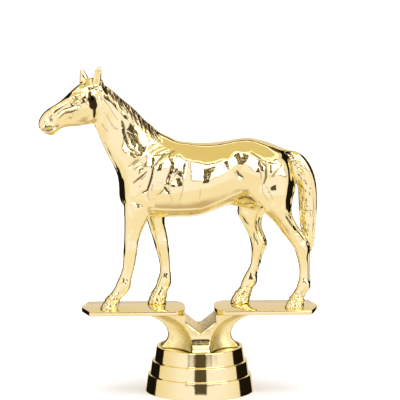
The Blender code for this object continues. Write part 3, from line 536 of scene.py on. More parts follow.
# Mane and tail: locks lie side by side along a root line, each running down to its tip
MANE_ROOTS = ((-96.5, 222.5), (-86.5, 216.5), (-76, 207.8), (-64.5, 197.8), (-54, 187.5), (-44.5, 179.5))
MANE_DROP = (9, 17, 19, 21, 22, 12)
MANE_LAYERS = (  # number of locks, half width of one, lift, lean and seed
    (21, 1.9, 0.55, 0.36, 0),
    (35, 1, 0.32, 0.44, 3),
)
MANE_PARTINGS = ((31, 0.36, 1), (26, 0.44, 4))
TAIL_LAYERS = (  # number of locks, half width of one, lift, seed
    (5, 2.6, 0.30, 0),
    (11, 1.3, 0.18, 2),
)
TAIL_PARTINGS = ((13, 1), (17, 4))


def ramp(value, low, high):
    """Rises smoothly from 0 at low to 1 at high."""
    t = np.clip((value - low) / (high - low), 0, 1)
    return t * t * (3 - 2 * t)


def through(stations, steps):
    """A smooth run of stations through the given ones."""
    points = np.array(stations, float)
    padded = np.vstack([2 * points[0] - points[1], points, 2 * points[-1] - points[-2]])
    run = []
    for a, b, c, d in zip(padded, padded[1:], padded[2:], padded[3:]):
        for t in np.arange(steps) / steps:
            linear = (c - a) * t
            square = (2 * a - 5 * b + 4 * c - d) * t**2
            cube = (3 * b - a - 3 * c + d) * t**3
            run.append((2 * b + linear + square + cube) / 2)
    return np.array([*run, points[-1]])


def new_object(name, mesh):
    """Puts a mesh into the scene under its name."""
    obj = bpy.data.objects.new(name, mesh)
    bpy.context.scene.collection.objects.link(obj)
    return obj


def close_rings(bm, rings):
    """Skins a run of rings and closes both ends."""
    for lower, upper in zip(rings, rings[1:]):
        for i in range(len(lower)):
            j = (i + 1) % len(lower)
            bm.faces.new((lower[i], lower[j], upper[j], upper[i]))
    bm.faces.new(rings[0][::-1])
    bm.faces.new(rings[-1])


def mesh_of(bm, name):
    """Turns a finished bmesh into a mesh, faces outwards."""
    bmesh.ops.recalc_face_normals(bm, faces=bm.faces)
    mesh = bpy.data.meshes.new(name)
    bm.to_mesh(mesh)
    bm.free()
    return mesh


def settle(obj):
    """Makes the outcome of an object's modifiers its own mesh."""
    graph = bpy.context.evaluated_depsgraph_get()
    mesh = bpy.data.meshes.new_from_object(obj.evaluated_get(graph))
    obj.modifiers.clear()
    obj.data = mesh


def combine(obj, others, operation):
    """Joins or cuts an object with others, which are used up."""
    for other in others:
        modifier = obj.modifiers.new(other.name, "BOOLEAN")
        modifier.operation = operation
        modifier.solver = "EXACT"
        modifier.object = other
    settle(obj)
    for other in others:
        bpy.data.objects.remove(other)


def bevelled(obj, width, segments, angle):
    """Rounds an object's edges that are sharper than an angle."""
    bevel = obj.modifiers.new("edges", "BEVEL")
    bevel.width = width
    bevel.segments = segments
    bevel.limit_method = "ANGLE"
    bevel.angle_limit = math.radians(angle)
    settle(obj)


def shade(obj, angle=None):
    """Shades smooth, with sharp edges kept above an angle if one is given."""
    mesh = obj.data
    mesh.shade_smooth()
    if angle is not None:
        mesh.set_sharp_from_angle(angle=math.radians(angle))


# The horse's skin, as points in squares


def points_of(mesh):
    """The mesh's points as an array."""
    points = np.empty(len(mesh.vertices) * 3)
    mesh.vertices.foreach_get("co", points)
    return points.reshape(-1, 3)


def normals_of(mesh):
    """The mesh's point normals as an array."""
    normals = np.empty(len(mesh.vertices) * 3)
    mesh.vertices.foreach_get("normal", normals)
    return normals.reshape(-1, 3)


def set_points(mesh, points):
    """Moves the mesh's points."""
    mesh.vertices.foreach_set("co", points.ravel())
    mesh.update()


def side_view(mesh):
    """The skin's points in squares of the side view."""
    return points_of(mesh)[:, [0, 2]] / (SQUARE_X, SQUARE_Z)


def leg_stations(rows):
    """Level slices of a leg as stations of a form."""
    return [(front, z, rear, z, y, half, 0.0) for z, front, rear, y, half in rows]


def turned(stations):
    """The head's stations, with the nose swung to the horse's left about the poll."""
    swing = math.tan(HEAD_TURN)
    return [
        (ax, az, bx, bz, y + min(0.0, (ax + bx) / 2 - HEAD_POLL) * swing, half, egg)
        for ax, az, bx, bz, y, half, egg in stations
    ]


def add_form(bm, stations):
    """Skins a closed form over its stations' oval rings. A station may give its left side a shape of its own:
    how round it is (1 for an oval, less for a flatter side), and the share by which it widens to the first
    point."""
    angles = np.arange(RING_POINTS) * 2 * math.pi / RING_POINTS
    rings = []
    for ax, az, bx, bz, y, half, egg, *left in through(stations, RING_STEPS):
        left_round, left_egg = left or (1.0, egg)
        ring = []
        for angle in angles:
            along, across = math.cos(angle), math.sin(angle)
            x = (ax + bx) / 2 + (ax - bx) / 2 * along
            z = (az + bz) / 2 + (az - bz) / 2 * along
            if across < 0:
                side = y - half * abs(across) ** left_round * (1 + left_egg * along)
            else:
                side = y + half * across * (1 + egg * along)
            ring.append(bm.verts.new((x * SQUARE_X, side * SQUARE_X, z * SQUARE_Z)))
        rings.append(ring)
    close_rings(bm, rings)


def horse_forms():
    """The rough horse: every form skinned, overlapping where they join."""
    bm = bmesh.new()
    head = [turned(stations) for stations in (HEAD, FORELOCK, NEAR_EAR, FAR_EAR)]
    for stations in (TRUNK, NECK, *head, SHEATH, TAIL):
        add_form(bm, stations)
    for rows in (NEAR_FORELEG, FAR_FORELEG, NEAR_HIND_LEG, FAR_HIND_LEG):
        add_form(bm, leg_stations(rows))
    return mesh_of(bm, "horse_forms")


def fused(mesh, voxel):
    """One closed skin round overlapping forms."""
    obj = new_object("forms", mesh)
    remesh = obj.modifiers.new("fuse", "REMESH")
    remesh.mode = "VOXEL"
    remesh.voxel_size = voxel
    settle(obj)
    skin = obj.data
    bpy.data.objects.remove(obj)
    return skin


def smoothed(mesh, rounds, pulls, weight=1.0):
    """Evens out the skin; a second, negative pull pushes back what the first one shrinks."""
    edges = np.empty(len(mesh.edges) * 2, int)
    mesh.edges.foreach_get("vertices", edges)
    edges = edges.reshape(-1, 2)
    ends = np.concatenate([edges[:, 0], edges[:, 1]])
    others = np.concatenate([edges[:, 1], edges[:, 0]])
    points = points_of(mesh)
    count = np.bincount(ends, minlength=len(points))[:, None]
    for _ in range(rounds):
        for pull in pulls:
            total = np.stack(
                [np.bincount(ends, points[others, k], len(points)) for k in range(3)], axis=1
            )
            points = points + pull * weight * (total / count - points)
    set_points(mesh, points)


def melted(mesh):
    """Melts the forms into each other round their joins."""
    spots = side_view(mesh)
    weight = np.zeros(len(spots))
    for x, z, reach in JOINS:
        distance = np.hypot(spots[:, 0] - x, spots[:, 1] - z)
        weight = np.maximum(weight, 1 - ramp(distance, reach * 0.6, reach * 1.4))
    smoothed(mesh, JOIN_ROUNDS, (0.5,), weight[:, None])


def hair_zones(spots, side):
    """Where the mane and the tail are, as two masks."""
    mane = (spots[:, 0] < -30) & (spots[:, 0] > -101) & (spots[:, 1] > 150)
    crest = np.interp(spots[:, 0], [x for x, _ in MANE_ROOTS], [z for _, z in MANE_ROOTS])
    mane &= (spots[:, 1] > crest - 26) & (side < 4)
    inner = through(TAIL, 2)
    edge = np.interp(-spots[:, 1], -inner[5:, 3], inner[5:, 2], left=80)
    tail = (spots[:, 0] > edge - 1.5) & (spots[:, 0] > 84) & (spots[:, 1] > 50) & (np.abs(side) < 10.5)
    return mane, tail


def split(mesh, chosen):
    """Splits the faces between chosen points into four."""
    bm = bmesh.new()
    bm.from_mesh(mesh)
    bm.verts.ensure_lookup_table()
    edges = [e for e in bm.edges if chosen[e.verts[0].index] and chosen[e.verts[1].index]]
    bmesh.ops.subdivide_edges(bm, edges=edges, cuts=1, use_grid_fill=True)
    bmesh.ops.triangulate(bm, faces=[f for f in bm.faces if len(f.verts) > 4])
    bm.to_mesh(mesh)
    bm.free()
    mesh.update()


def boxed(spots, line, margin):
    """The numbers of the spots that lie in the box round a line, with a margin."""
    line = np.array(line, float)
    inside = (spots > line.min(axis=0) - margin) & (spots < line.max(axis=0) + margin)
    return np.flatnonzero(inside.all(axis=1))


def near_lines(spots, lines):
    """The spots that lie within a line's half width plus a margin, for lines given with their half widths."""
    chosen = np.zeros(len(spots), bool)
    for half, _, line in lines:
        near = boxed(spots, line, BOX_MARGIN)
        chosen[near] |= along_line(spots[near], line)[0] < half + FINE_MARGIN
    return chosen


def refined(mesh):
    """Splits faces where carving is fine: once on face, hair, hooves, folds and narrow ridges, and twice on
    near ear and eye and on the near side of mane and tail."""
    spots = side_view(mesh)
    side = points_of(mesh)[:, 1] / SQUARE_X
    mane, tail = hair_zones(spots, side)
    chosen = (mane & (side < 3)) | (tail & (side < 3)) | ((spots[:, 1] < 16) & (side < 3))
    chosen |= (spots[:, 0] < -99) & (spots[:, 1] > 172) & (side < 3)
    ridges = [stroke for stroke in STROKES if stroke[0] < 2.1]
    chosen |= near_lines(spots, [*ridges, *PAINTED_SHADE_FOLDS]) & (side < 0)
    chosen |= near_lines(spots, INNER_PAINTED_SHADE_FOLDS) & (side > 3)
    split(mesh, chosen)
    smoothed(mesh, 3, EVEN_OUT)
    spots = side_view(mesh)
    side = points_of(mesh)[:, 1] / SQUARE_X
    mane, tail = hair_zones(spots, side)
    eyes = np.hypot(spots[:, 0] + 122.5, spots[:, 1] - 207.5) < 6
    ears = (spots[:, 0] < -96) & (spots[:, 0] > -122) & (spots[:, 1] > 222)
    split(mesh, (mane & (side < -2)) | (tail & (side < -3)) | ((ears | eyes) & (side < 1)))


def along_line(spots, line):
    """Distance of each spot to a line of points, and the share of the line's length at its nearest point."""
    line = np.array(line, float)
    lengths = np.hypot(*np.diff(line, axis=0).T)
    before = np.concatenate([[0], np.cumsum(lengths)])
    best = np.full(len(spots), np.inf)
    share = np.zeros(len(spots))
    for start, step, length, passed in zip(line, np.diff(line, axis=0), lengths, before):
        t = np.clip((spots - start) @ step / length**2, 0, 1)
        distance = np.hypot(*(spots - start - t[:, None] * step).T)
        nearer = distance < best
        best[nearer] = distance[nearer]
        share[nearer] = (passed + t[nearer] * length) / before[-1]
    return best, share


def stroke_push(spots, line, width, height):
    """One stroke: a rounded ridge or groove along its line, fading at both ends."""
    push = np.zeros(len(spots))
    near = boxed(spots, line, 3 * width)
    distance, _ = along_line(spots[near], line)
    push[near] = height * np.exp(-((distance / width) ** 2))
    return push


def on_leg(rows, share, levels):
    """Points at a share of a leg's width from its front, at the given levels."""
    table = np.array(rows)[::-1]
    front = np.interp(levels, table[:, 0], table[:, 1])
    rear = np.interp(levels, table[:, 0], table[:, 2])
    return list(zip(front + (rear - front) * share, levels))


def leg_strokes(rows, hind):
    """The bones and tendons of a leg below the body."""
    joint = 57.0 if hind else 61.0
    yield 1.3, -0.9, on_leg(rows, 0.60, (joint - 12, joint - 20, 30.0))
    yield 1.2, 0.6, on_leg(rows, 0.80, (joint - 10, joint - 20, 30.0))
    yield 1.8, 0.8, on_leg(rows, 0.84, (joint + 3, joint - 2))
    yield 1.6, 0.7, on_leg(rows, 0.25, (joint + 5, joint - 5))
    yield 1.0, -0.3, on_leg(rows, 0.50, (joint + 4, joint - 5))
    yield 1.8, 0.5, on_leg(rows, 0.80, (26.0, 23.0))
    yield 1.0, -0.4, on_leg(rows, 0.52, (27.0, 22.0))
    if hind:
        yield 1.1, -1.0, on_leg(rows, 0.70, (78.0, 66.0))
        yield 1.5, 0.8, on_leg(rows, 0.92, (68.0, 59.0))
    else:
        yield 1.2, -0.7, on_leg(rows, 0.62, (90.0, 80.0, 70.0))
        yield 1.2, -0.5, on_leg(rows, 0.30, (88.0, 76.0))


def mane_locks(count, slant, seed):
    """Lines of the mane's locks, from the crest down and back."""
    roots = through([(*root, drop) for root, drop in zip(MANE_ROOTS, MANE_DROP)], 12)
    for i in range(count):
        x, z, drop = roots[int((len(roots) - 1) * (i + 0.5) / count)]
        drop *= 0.80 + 0.34 * ((i * 5 + seed) % 7) / 6
        lean = slant * (0.75 + 0.6 * ((i * 3 + seed) % 5) / 4)
        wave = 0.9 * math.sin(i * 2.3 + seed)
        yield [
            (x - 0.4, z + 1.6),
            (x + lean * drop * 0.25 + wave * 0.4, z - drop * 0.35),
            (x + lean * drop * 0.65 + wave, z - drop * 0.72),
            (x + lean * drop * 1.15 + wave * 0.3, z - drop),
        ]


def tail_locks(count, seed):
    """Lines of the tail's locks, from the dock down to the tip."""
    run = through(TAIL, 2)
    for i in range(count):
        share = (i + 0.5) / count
        line = []
        for k, (ax, az, bx, bz, *_) in enumerate(run[1:]):
            sway = share + 0.07 * math.sin(k * 0.45 + i * 2.1 + seed)
            line.append((bx + (ax - bx) * sway, bz + (az - bz) * sway))
        yield line


def lock_relief(spots, locks, width):
    """Rounded strands: highest along their middles, thinning towards their tips."""
    relief = np.zeros(len(spots))
    for line in locks:
        distance, share = along_line(spots, line)
        reach = width * np.sqrt(np.clip(1.0 - share, 0.0, 1.0) * 0.9 + 0.1)
        relief = np.maximum(relief, np.clip(1 - (distance / reach) ** 2, 0, 1))
    return relief


def fold_depth(spots, folds):
    """How deep each spot lies in narrow folds, which taper towards both ends."""
    depth = np.zeros(len(spots))
    for half, strength, line in folds:
        near = boxed(spots, line, 3 * half)
        distance, share = along_line(spots[near], line)
        taper = 0.35 + 0.65 * np.sqrt(np.clip(4 * share * (1 - share), 0, 1))
        value = strength * (1 - ramp(distance - half * taper, -0.35, 0.35))
        depth[near] = np.maximum(depth[near], value)
    return depth


def partings(lines, seed):
    """Short partings between locks, cut in and painted dark as shade, each over a part of its lock's length.
    """
    for i, line in enumerate(lines):
        line = through(line, 6)
        length = len(line)
        start = int(length * 0.07 * ((i * 3 + seed) % 6))
        end = start + int(length * (0.30 + 0.08 * ((i * 5 + seed) % 5)))
        if end - start > 2:
            yield 0.42 + 0.09 * ((i * 7 + seed) % 4), 1.0, line[start:end]


def scribbles(lines, seed):
    """Short slanting nicks along the outer half of the tail, closer together towards its outer edge, cut in
    and painted dark as shade.
    """
    for i, line in enumerate(lines):
        line = through(line, 6)
        share = (i + 0.5) / len(lines)
        if share > 0.62:
            continue
        for k in range(9):
            if (i * 5 + k * 3 + seed) % 7 < 2 + 5 * share:
                continue
            start = int(len(line) * (k + 0.35 * math.sin(i * 2.7 + k)) / 9 + 2)
            piece = line[max(start, 0) : start + 3 + (i + k + seed) % 4]
            if len(piece) > 2:
                slant = np.linspace(-0.5, 0.9, len(piece))[:, None] * (1.0, 0.0)
                yield 0.30 + 0.05 * ((i + k) % 3), 0.95, piece + slant


def crumbled(places):
    """An uneven height between -1 and 1 at each place, the same on every run."""
    total = np.zeros(len(places))
    for k, (size, strength) in enumerate(((3.4, 0.5), (2.1, 0.5), (1.4, 0.35))):
        x, y, z = (places / size * 2 * math.pi).T
        wave = np.sin(x + 1.7 * np.sin(0.6 * z + k)) * np.sin(0.8 * z + 1.3 * np.sin(0.7 * y + 2 * k))
        total += strength * wave * np.cos(0.7 * y + x * 0.3 + k)
    return total


def add_mask(mesh, name, values):
    """Keeps a value per point for the finish to read."""
    layer = mesh.attributes.new(name, "FLOAT", "POINT")
    layer.data.foreach_set("value", np.ascontiguousarray(values, dtype=np.float32))


def chamfer_push(spots, side):
    """How far the skin turns in towards the contours that it meets sharply."""
    push = np.zeros(len(spots))
    for reach, drop, bare, contour in CHAMFERS:
        x, z = np.array(contour)[::-1].T
        outwards = 1 if x.mean() > 0 else -1
        beyond = (spots[:, 0] - np.interp(spots[:, 1], z, x)) * outwards
        share = ramp(beyond, -reach, 0) * (beyond < 4) * ramp(np.abs(side), *bare)
        push -= drop * share * ramp(spots[:, 1], z[0], z[0] + 6) * (1 - ramp(spots[:, 1], z[-1] - 5, z[-1]))
    return push


def flank_push(spots, side):
    """Muscles, face, chamfers and the shoulder blade's swell, as they lie on either flank."""
    push = np.zeros(len(spots))
    for width, height, line in STROKES:
        push += stroke_push(spots, line, width, height)
    push += chamfer_push(spots, side)
    blade = ramp(spots[:, 1], 129, 147) * (1 - ramp(spots[:, 1], 148, 166))
    blade *= ramp(spots[:, 0], -60, -46) * (1 - ramp(spots[:, 0], -24, -12))
    return push + BLADE_SWELL * blade


def ear_push(spots, side, facing):
    """The ears' hollows, cut from the left side of each."""
    head_side = side - np.minimum(0, spots[:, 0] - HEAD_POLL) * math.tan(HEAD_TURN)
    push = np.zeros(len(spots))
    for which, width, height, line in EAR_HOLLOWS:
        ear = (head_side < 0) & (spots[:, 1] > 220)
        ear &= spots[:, 0] > -111 if which < 0 else spots[:, 0] < -109
        push += stroke_push(spots, line, width, height) * ear
    return push * ramp(-facing, 0, 0.4)


def leg_push(rows, hind, spots, outer, facing):
    """One leg's bones and tendons, the turn of a hind leg's rear edge, and the rim round its hoof's top."""
    own = outer * ramp(np.abs(facing), 0.15, 0.55) * (spots[:, 1] < 96)
    push = np.zeros(len(spots))
    if hind:
        height, front, rear = np.array(rows, float)[::-1, :3].T
        middle = np.interp(spots[:, 1], height, (front + rear) / 2)
        reach = np.interp(spots[:, 1], height, (rear - front) / 2)
        turn = ramp((spots[:, 0] - middle) / reach, 0.15, 0.95) * ramp(spots[:, 1], 24, 30)
        push -= HIND_EDGE_TURN * turn * own
    for width, height, line in leg_strokes(rows, hind):
        push += stroke_push(spots, line, width, height) * own
    front, rear = on_leg(rows, -0.1, (11.5,))[0], on_leg(rows, 1.1, (7.5,))[0]
    push += stroke_push(spots, (front, rear), 1, 0.8) * outer
    return push + stroke_push(spots, ((front[0], 9.2), (rear[0], 5.2)), 1, -0.4) * outer


def mane_relief(spots, near_side):
    """The mane's strands and partings: outward push, hair and the painted shade of each spot."""
    push, hair, dark = np.zeros((3, len(spots)))
    for count, width, lift, slant, seed in MANE_LAYERS:
        relief = lock_relief(spots, mane_locks(count, slant, seed), width) * near_side
        push += lift * relief
        hair = np.maximum(hair, relief)
    for count, slant, seed in MANE_PARTINGS:
        cuts = partings(mane_locks(count, slant, seed), seed)
        depth = fold_depth(spots, cuts) * near_side
        push -= PARTING_CUT * depth
        dark = np.maximum(dark, depth)
    return push, hair, dark


def tail_relief(spots, side):
    """The tail's strands and nicks: outward push, hair and the painted shade of each spot."""
    push, dark = np.zeros((2, len(spots)))
    shift = np.where(side > 0, 2.0, 0.0)[:, None] * (0, 1)
    for count, width, lift, seed in TAIL_LAYERS:
        push += lift * (lock_relief(spots + shift, tail_locks(count, seed), width) - 0.55)
    for count, seed in TAIL_PARTINGS:
        depth = fold_depth(spots, scribbles(list(tail_locks(count, seed)), seed))
        push -= NICK_CUT * depth
        dark = np.maximum(dark, depth)
    return push, np.full(len(spots), 0.5), dark


def carved(mesh):
    """Carves muscles, face, legs, mane and tail into the skin."""
    points = points_of(mesh)
    normals = normals_of(mesh)
    spots = side_view(mesh)
    side = points[:, 1] / SQUARE_X
    facing = normals[:, 1]
    flank = ramp(np.abs(facing), 0.1, 0.5) * (np.abs(side) > 2.5) * (side * facing > 0)
    push = flank_push(spots, side) * flank + ear_push(spots, side, facing)
    for rows, which, hind in (
        (NEAR_FORELEG, -1, False),
        (FAR_FORELEG, 1, False),
        (NEAR_HIND_LEG, -1, True),
        (FAR_HIND_LEG, 1, True),
    ):
        push += leg_push(rows, hind, spots, side * which > 3, facing)
    inner = (side > 3) * ramp(-facing, 0.1, 0.5)
    for width, height, line in INNER_STROKES:
        push += stroke_push(spots, line, width, height) * inner
    rough = (1 - ramp(spots[:, 1], 17, 24)) * ramp(spots[:, 1], 1, 3)
    push += rough * HOOF_ROUGHNESS * crumbled(np.column_stack([spots[:, 0], side, spots[:, 1]]))
    # Painted shade: the folds' depth cuts them in and is also kept for the finish to paint deep brown
    dark = np.maximum(fold_depth(spots, PAINTED_SHADE_FOLDS) * flank, fold_depth(spots, INNER_PAINTED_SHADE_FOLDS) * inner)
    push -= FOLD_CUT * dark
    hair = np.zeros(len(spots))
    mane, tail = hair_zones(spots, side)
    near_side = ramp(-facing[mane], -0.25, 0.35) * ramp(-side[mane], -3, 0.5)
    for zone, relief in (
        (mane, mane_relief(spots[mane], near_side)),
        (tail, tail_relief(spots[tail], side[tail])),
    ):
        push[zone] += relief[0]
        hair[zone] = relief[1]
        dark[zone] = np.maximum(dark[zone], relief[2])
    set_points(mesh, points + normals * push[:, None] * SQUARE_X)
    add_mask(mesh, "hair", hair)
    # The dark mask holds painted shade in folds, mane partings and tail nicks
    add_mask(mesh, "dark", dark)
    add_mask(mesh, "stipple", (1 - ramp(spots[:, 1], 15, 21)) * (spots[:, 1] > 0.6))


def build_horse():
    """The plated horse, standing on the plates' top."""
    skin = fused(horse_forms(), SCULPT_VOXEL)
    smoothed(skin, 10, EVEN_OUT)
    melted(skin)
    refined(skin)
    smoothed(skin, 4, EVEN_OUT)
    carved(skin)
    smoothed(skin, 2, EVEN_OUT)
    skin.transform(Matrix.Translation((AXIS_X, 0, GROUND - SOLE_SINK)))
    horse = new_object("horse", skin)
    shade(horse)
    return horse


# Plates and bracket


def prism(name, outline, low, high, upright=True):
    """A straight solid over an outline; lying on its side it runs along Y."""
    bm = bmesh.new()
    rings = []
    for level in (low, high):
        if upright:
            rings.append([bm.verts.new((x, y, level)) for x, y in outline])
        else:
            rings.append([bm.verts.new((x, level, z)) for x, z in outline])
    close_rings(bm, rings)
    return new_object(name, mesh_of(bm, name))


def plate_outline(middle, outwards):
    """A ground plate's outline: a shallow point outside, a blunt one towards the other plate."""
    half = PLATE_LENGTH / 2
    side = PLATE_DEPTH / 2
    outer, outer_flat = OUTER_POINT
    inner, inner_flat = INNER_POINT
    points = [
        (half - outer, -side),
        (half, -outer_flat / 2),
        (half, outer_flat / 2),
        (half - outer, side),
        (inner - half, side),
        (inner / 4 - half, inner_flat),
        (-half, inner_flat / 2),
        (-half, -inner_flat / 2),
        (inner / 4 - half, -inner_flat),
        (inner - half, -side),
    ]
    points = [(middle + outwards * x, y) for x, y in points]
    return points if outwards > 0 else points[::-1]


def build_plates():
    """Both ground plates, their edges eased."""
    middle = (PLATE_LENGTH + PLATE_GAP) / 2
    plates = []
    for name, outwards in (("front_ground_plate", -1), ("rear_ground_plate", 1)):
        outline = plate_outline(outwards * middle, outwards)
        plate = prism(name, outline, UNDERSIDE, GROUND)
        plate.data.transform(Matrix.Translation((AXIS_X, 0, 0)))
        bevelled(plate, PLATE_EASE, 3, 15)
        shade(plate, 50)
        plates.append(plate)
    return plates


def bracket_section(length, width, depth, z, bm):
    """One level slice of the bracket: flat faces front and rear, hollowed flanks out to the web's ends."""
    quarter = [(width * share, depth) for share in (0.0, 0.35, 0.7, 1.0)]
    for step in range(1, 25):
        share = step / 24
        x = width + (length - WEB_HALF_THICKNESS / 2 - width) * share
        y = WEB_HALF_THICKNESS + (depth - WEB_HALF_THICKNESS) * (1 - share) ** 2.6
        quarter.append((x, y))
    for turn in (30, 60):
        angle = math.radians(turn)
        x = length - WEB_HALF_THICKNESS / 2 * (1 - math.sin(angle))
        quarter.append((x, WEB_HALF_THICKNESS * math.cos(angle)))
    quarter.append((length, 0.0))
    outline = quarter[:-1] + [(x, -y) for x, y in reversed(quarter)]
    outline = outline[1:] + [(-x, y) for x, y in reversed(outline[1:-1])]
    return [bm.verts.new((x, y, z)) for x, y in outline]


def soften_notch(mesh):
    """Rounds the notch's rims where they meet the front and rear faces."""
    run, rise = NOTCH_SLOPE
    bm = bmesh.new()
    bm.from_mesh(mesh)
    rims = []
    for edge in bm.edges:
        ends = [v.co for v in edge.verts]
        slope = [FOOT + NOTCH_FLOOR + abs(p.x) * (rise - NOTCH_FLOOR) / run for p in ends]
        on_notch = all(abs(p.z - z) < 2e-5 for p, z in zip(ends, slope))
        if on_notch and ends[0].y * ends[1].y > 0 and abs(ends[0].x - ends[1].x) > 1e-6:
            if len(edge.link_faces) == 2 and edge.calc_face_angle() > 0.5:
                rims.append(edge)
    bmesh.ops.bevel(bm, geom=rims, offset=NOTCH_ROUND, segments=6, profile=0.5, affect="EDGES")
    bm.to_mesh(mesh)
    bm.free()
    mesh.update()


def build_bracket():
    """The forked bracket, its notch cut and its edges eased."""
    bm = bmesh.new()
    levels = through(BRACKET_LEVELS, 5)
    rings = []
    for height, length, width, depth in levels:
        rings.append(bracket_section(length, width, depth, FOOT + height, bm))
    close_rings(bm, rings)
    bracket = new_object("forked_bracket", mesh_of(bm, "bracket"))
    run, rise = NOTCH_SLOPE
    top = GROUND
    outline = [(0.0, FOOT + NOTCH_FLOOR), (run, FOOT + rise), (run, top), (-run, top), (-run, FOOT + rise)]
    notch = prism("notch", outline, -PLATE_DEPTH, PLATE_DEPTH, upright=False)
    combine(bracket, [notch], "DIFFERENCE")
    soften_notch(bracket.data)
    bevelled(bracket, BRACKET_EASE, 3, 28)
    points = points_of(bracket.data)
    width = np.interp(points[:, 2] - FOOT, levels[:, 0], levels[:, 2])
    flanks = ramp(np.abs(points[:, 0]) - width, 0.0001, 0.0009)
    fork = 0.7 * ramp(points[:, 2] - FOOT, 0.0050, 0.0075)
    add_mask(bracket.data, "grain", np.maximum(flanks, fork))
    bracket.data.transform(Matrix.Translation((AXIS_X, 0, 0)))
    shade(bracket, 40)
    return bracket


# The base


def revolved(name, profile, segments):
    """A turned solid from its closed profile of radius and height."""
    bm = bmesh.new()
    rings = []
    for radius, z in profile:
        if radius == 0:
            rings.append([bm.verts.new((0, 0, z))] * segments)
            continue
        ring = []
        for i in range(segments):
            angle = 2 * math.pi * i / segments
            ring.append(bm.verts.new((radius * math.cos(angle), radius * math.sin(angle), z)))
        rings.append(ring)
    for lower, upper in zip(rings, rings[1:] + rings[:1]):
        for i in range(segments):
            j = (i + 1) % segments
            corners = dict.fromkeys((lower[i], lower[j], upper[j], upper[i]))
            if len(corners) > 2:
                bm.faces.new(list(corners))
    return new_object(name, mesh_of(bm, name))


def rounded(points, radius, steps=5):
    """A profile with each of its corners rounded."""
    out = [points[0]]
    for before, corner, after in zip(points, points[1:], points[2:]):
        corner = Vector(corner)
        back, ahead = Vector(before) - corner, Vector(after) - corner
        reach = min(radius, back.length * 0.45, ahead.length * 0.45)
        start, end = corner + back.normalized() * reach, corner + ahead.normalized() * reach
        for i in range(steps + 1):
            t = i / steps
            out.append(tuple((1 - t) ** 2 * start + 2 * t * (1 - t) * corner + t * t * end))
    return [*out, points[-1]]


def build_base():
    """The stepped base: outside, pocket and hollow, with a bolt boss and ribs inside."""
    base_top = sum(height for _, _, height in TIERS)
    pocket = base_top - POCKET_DEPTH
    under = pocket - FLOOR
    rim = TIERS[-1][1] - EDGE_ROUND - RIM_WIDTH
    outside = []
    z = 0.0
    for foot, top, height in TIERS:
        outside.append((foot, z))
        z += height
        outside.append((top, z))
    inside = [(TIERS[0][0] - WALL, 0.0)]
    z = 0.0
    for foot, top, height in TIERS:
        if z:
            inside.append((top - WALL, z - WALL))
        z += height
        inside.append((top - WALL, min(z - WALL, under)))
    profile = [(0.0, under), *inside[::-1], *outside, (rim, base_top), (rim, pocket), (0.0, pocket)]
    base = revolved("stepped_base", rounded(profile, EDGE_ROUND), BASE_SEGMENTS)
    additions = []
    reach = TIERS[-1][1] - WALL / 2
    for i in range(RIB_COUNT // 2):
        half = RIB_THICKNESS / 2
        outline = [(-reach, -half), (reach, -half), (reach, half), (-reach, half)]
        rib = prism(f"rib {i}", outline, RIB_RECESS, under + FLOOR / 2)
        rib.data.transform(Matrix.Rotation(math.pi * (2 * i + 1) / RIB_COUNT, 4, "Z"))
        additions.append(rib)
    boss = [(0.0, BOSS_RECESS), (BOSS_RADIUS, BOSS_RECESS), (BOSS_RADIUS, under + FLOOR / 2)]
    additions.append(revolved("boss", [*boss, (0.0, under + FLOOR / 2)], BASE_SEGMENTS // 2))
    combine(base, additions, "UNION")
    roof = pocket - BOLT_HOLE_ROOF
    hole = [(0.0, -FLOOR), (BOLT_HOLE_RADIUS, -FLOOR), (BOLT_HOLE_RADIUS, roof), (0.0, roof)]
    combine(base, [revolved("bolt hole", hole, BASE_SEGMENTS // 2)], "DIFFERENCE")
    base.data.transform(Matrix.Translation((AXIS_X, 0, 0)))
    shade(base, 35)
    return base


# Finish: bright gold plating, with the moulding's fine textures, painted shade in folds, partings and nicks,
# and dark specks on the hooves


class Nodes:
    """Short hand for building a node tree."""

    def __init__(self, tree):
        self.tree = tree

    def add(self, kind, **settings):
        node = self.tree.nodes.new(kind)
        inputs = settings.pop("inputs", {})
        for key, value in settings.items():
            setattr(node, key, value)
        for key, value in inputs.items():
            if hasattr(value, "is_linked"):
                self.tree.links.new(value, node.inputs[key])
            else:
                node.inputs[key].default_value = value
        return node

    def math(self, operation, a, b=0.0):
        node = self.add("ShaderNodeMath", operation=operation, inputs={0: a, 1: b})
        return node.outputs[0]

    def times(self, a, b):
        return self.math("MULTIPLY", a, b)

    def noise(self, place, scale, detail):
        inputs = {"Vector": place, "Scale": scale, "Detail": detail}
        return self.add("ShaderNodeTexNoise", inputs=inputs).outputs[0]

    def cells(self, place, scale):
        return self.add("ShaderNodeTexVoronoi", inputs={"Vector": place, "Scale": scale}).outputs["Distance"]

    def two_tone(self, factor, low, high, start=0.0, end=1.0):
        ramp_node = self.add("ShaderNodeValToRGB", inputs={0: factor})
        for element, colour, position in zip(ramp_node.color_ramp.elements, (low, high), (start, end)):
            element.color = (*colour, 1)
            element.position = position
        return ramp_node.outputs[0]

    def step(self, value, low, high):
        node = self.add(
            "ShaderNodeMapRange", interpolation_type="SMOOTHSTEP", inputs={0: value, 1: low, 2: high}
        )
        return node.outputs[0]

    def window(self, value, low, high, soft):
        rise = self.step(value, low - soft, low + soft)
        fall = self.step(value, high - soft, high + soft)
        return self.math("SUBTRACT", rise, fall)


GOLD_LOW = (0.93, 0.84, 0.41)
GOLD_HIGH = (0.97, 0.90, 0.50)
# A deep brown, painted as shade into folds, partings and nicks, and into the dark specks on the hooves
GOLD_PAINTED_SHADE_AND_SPECKS = (0.035, 0.022, 0.008)


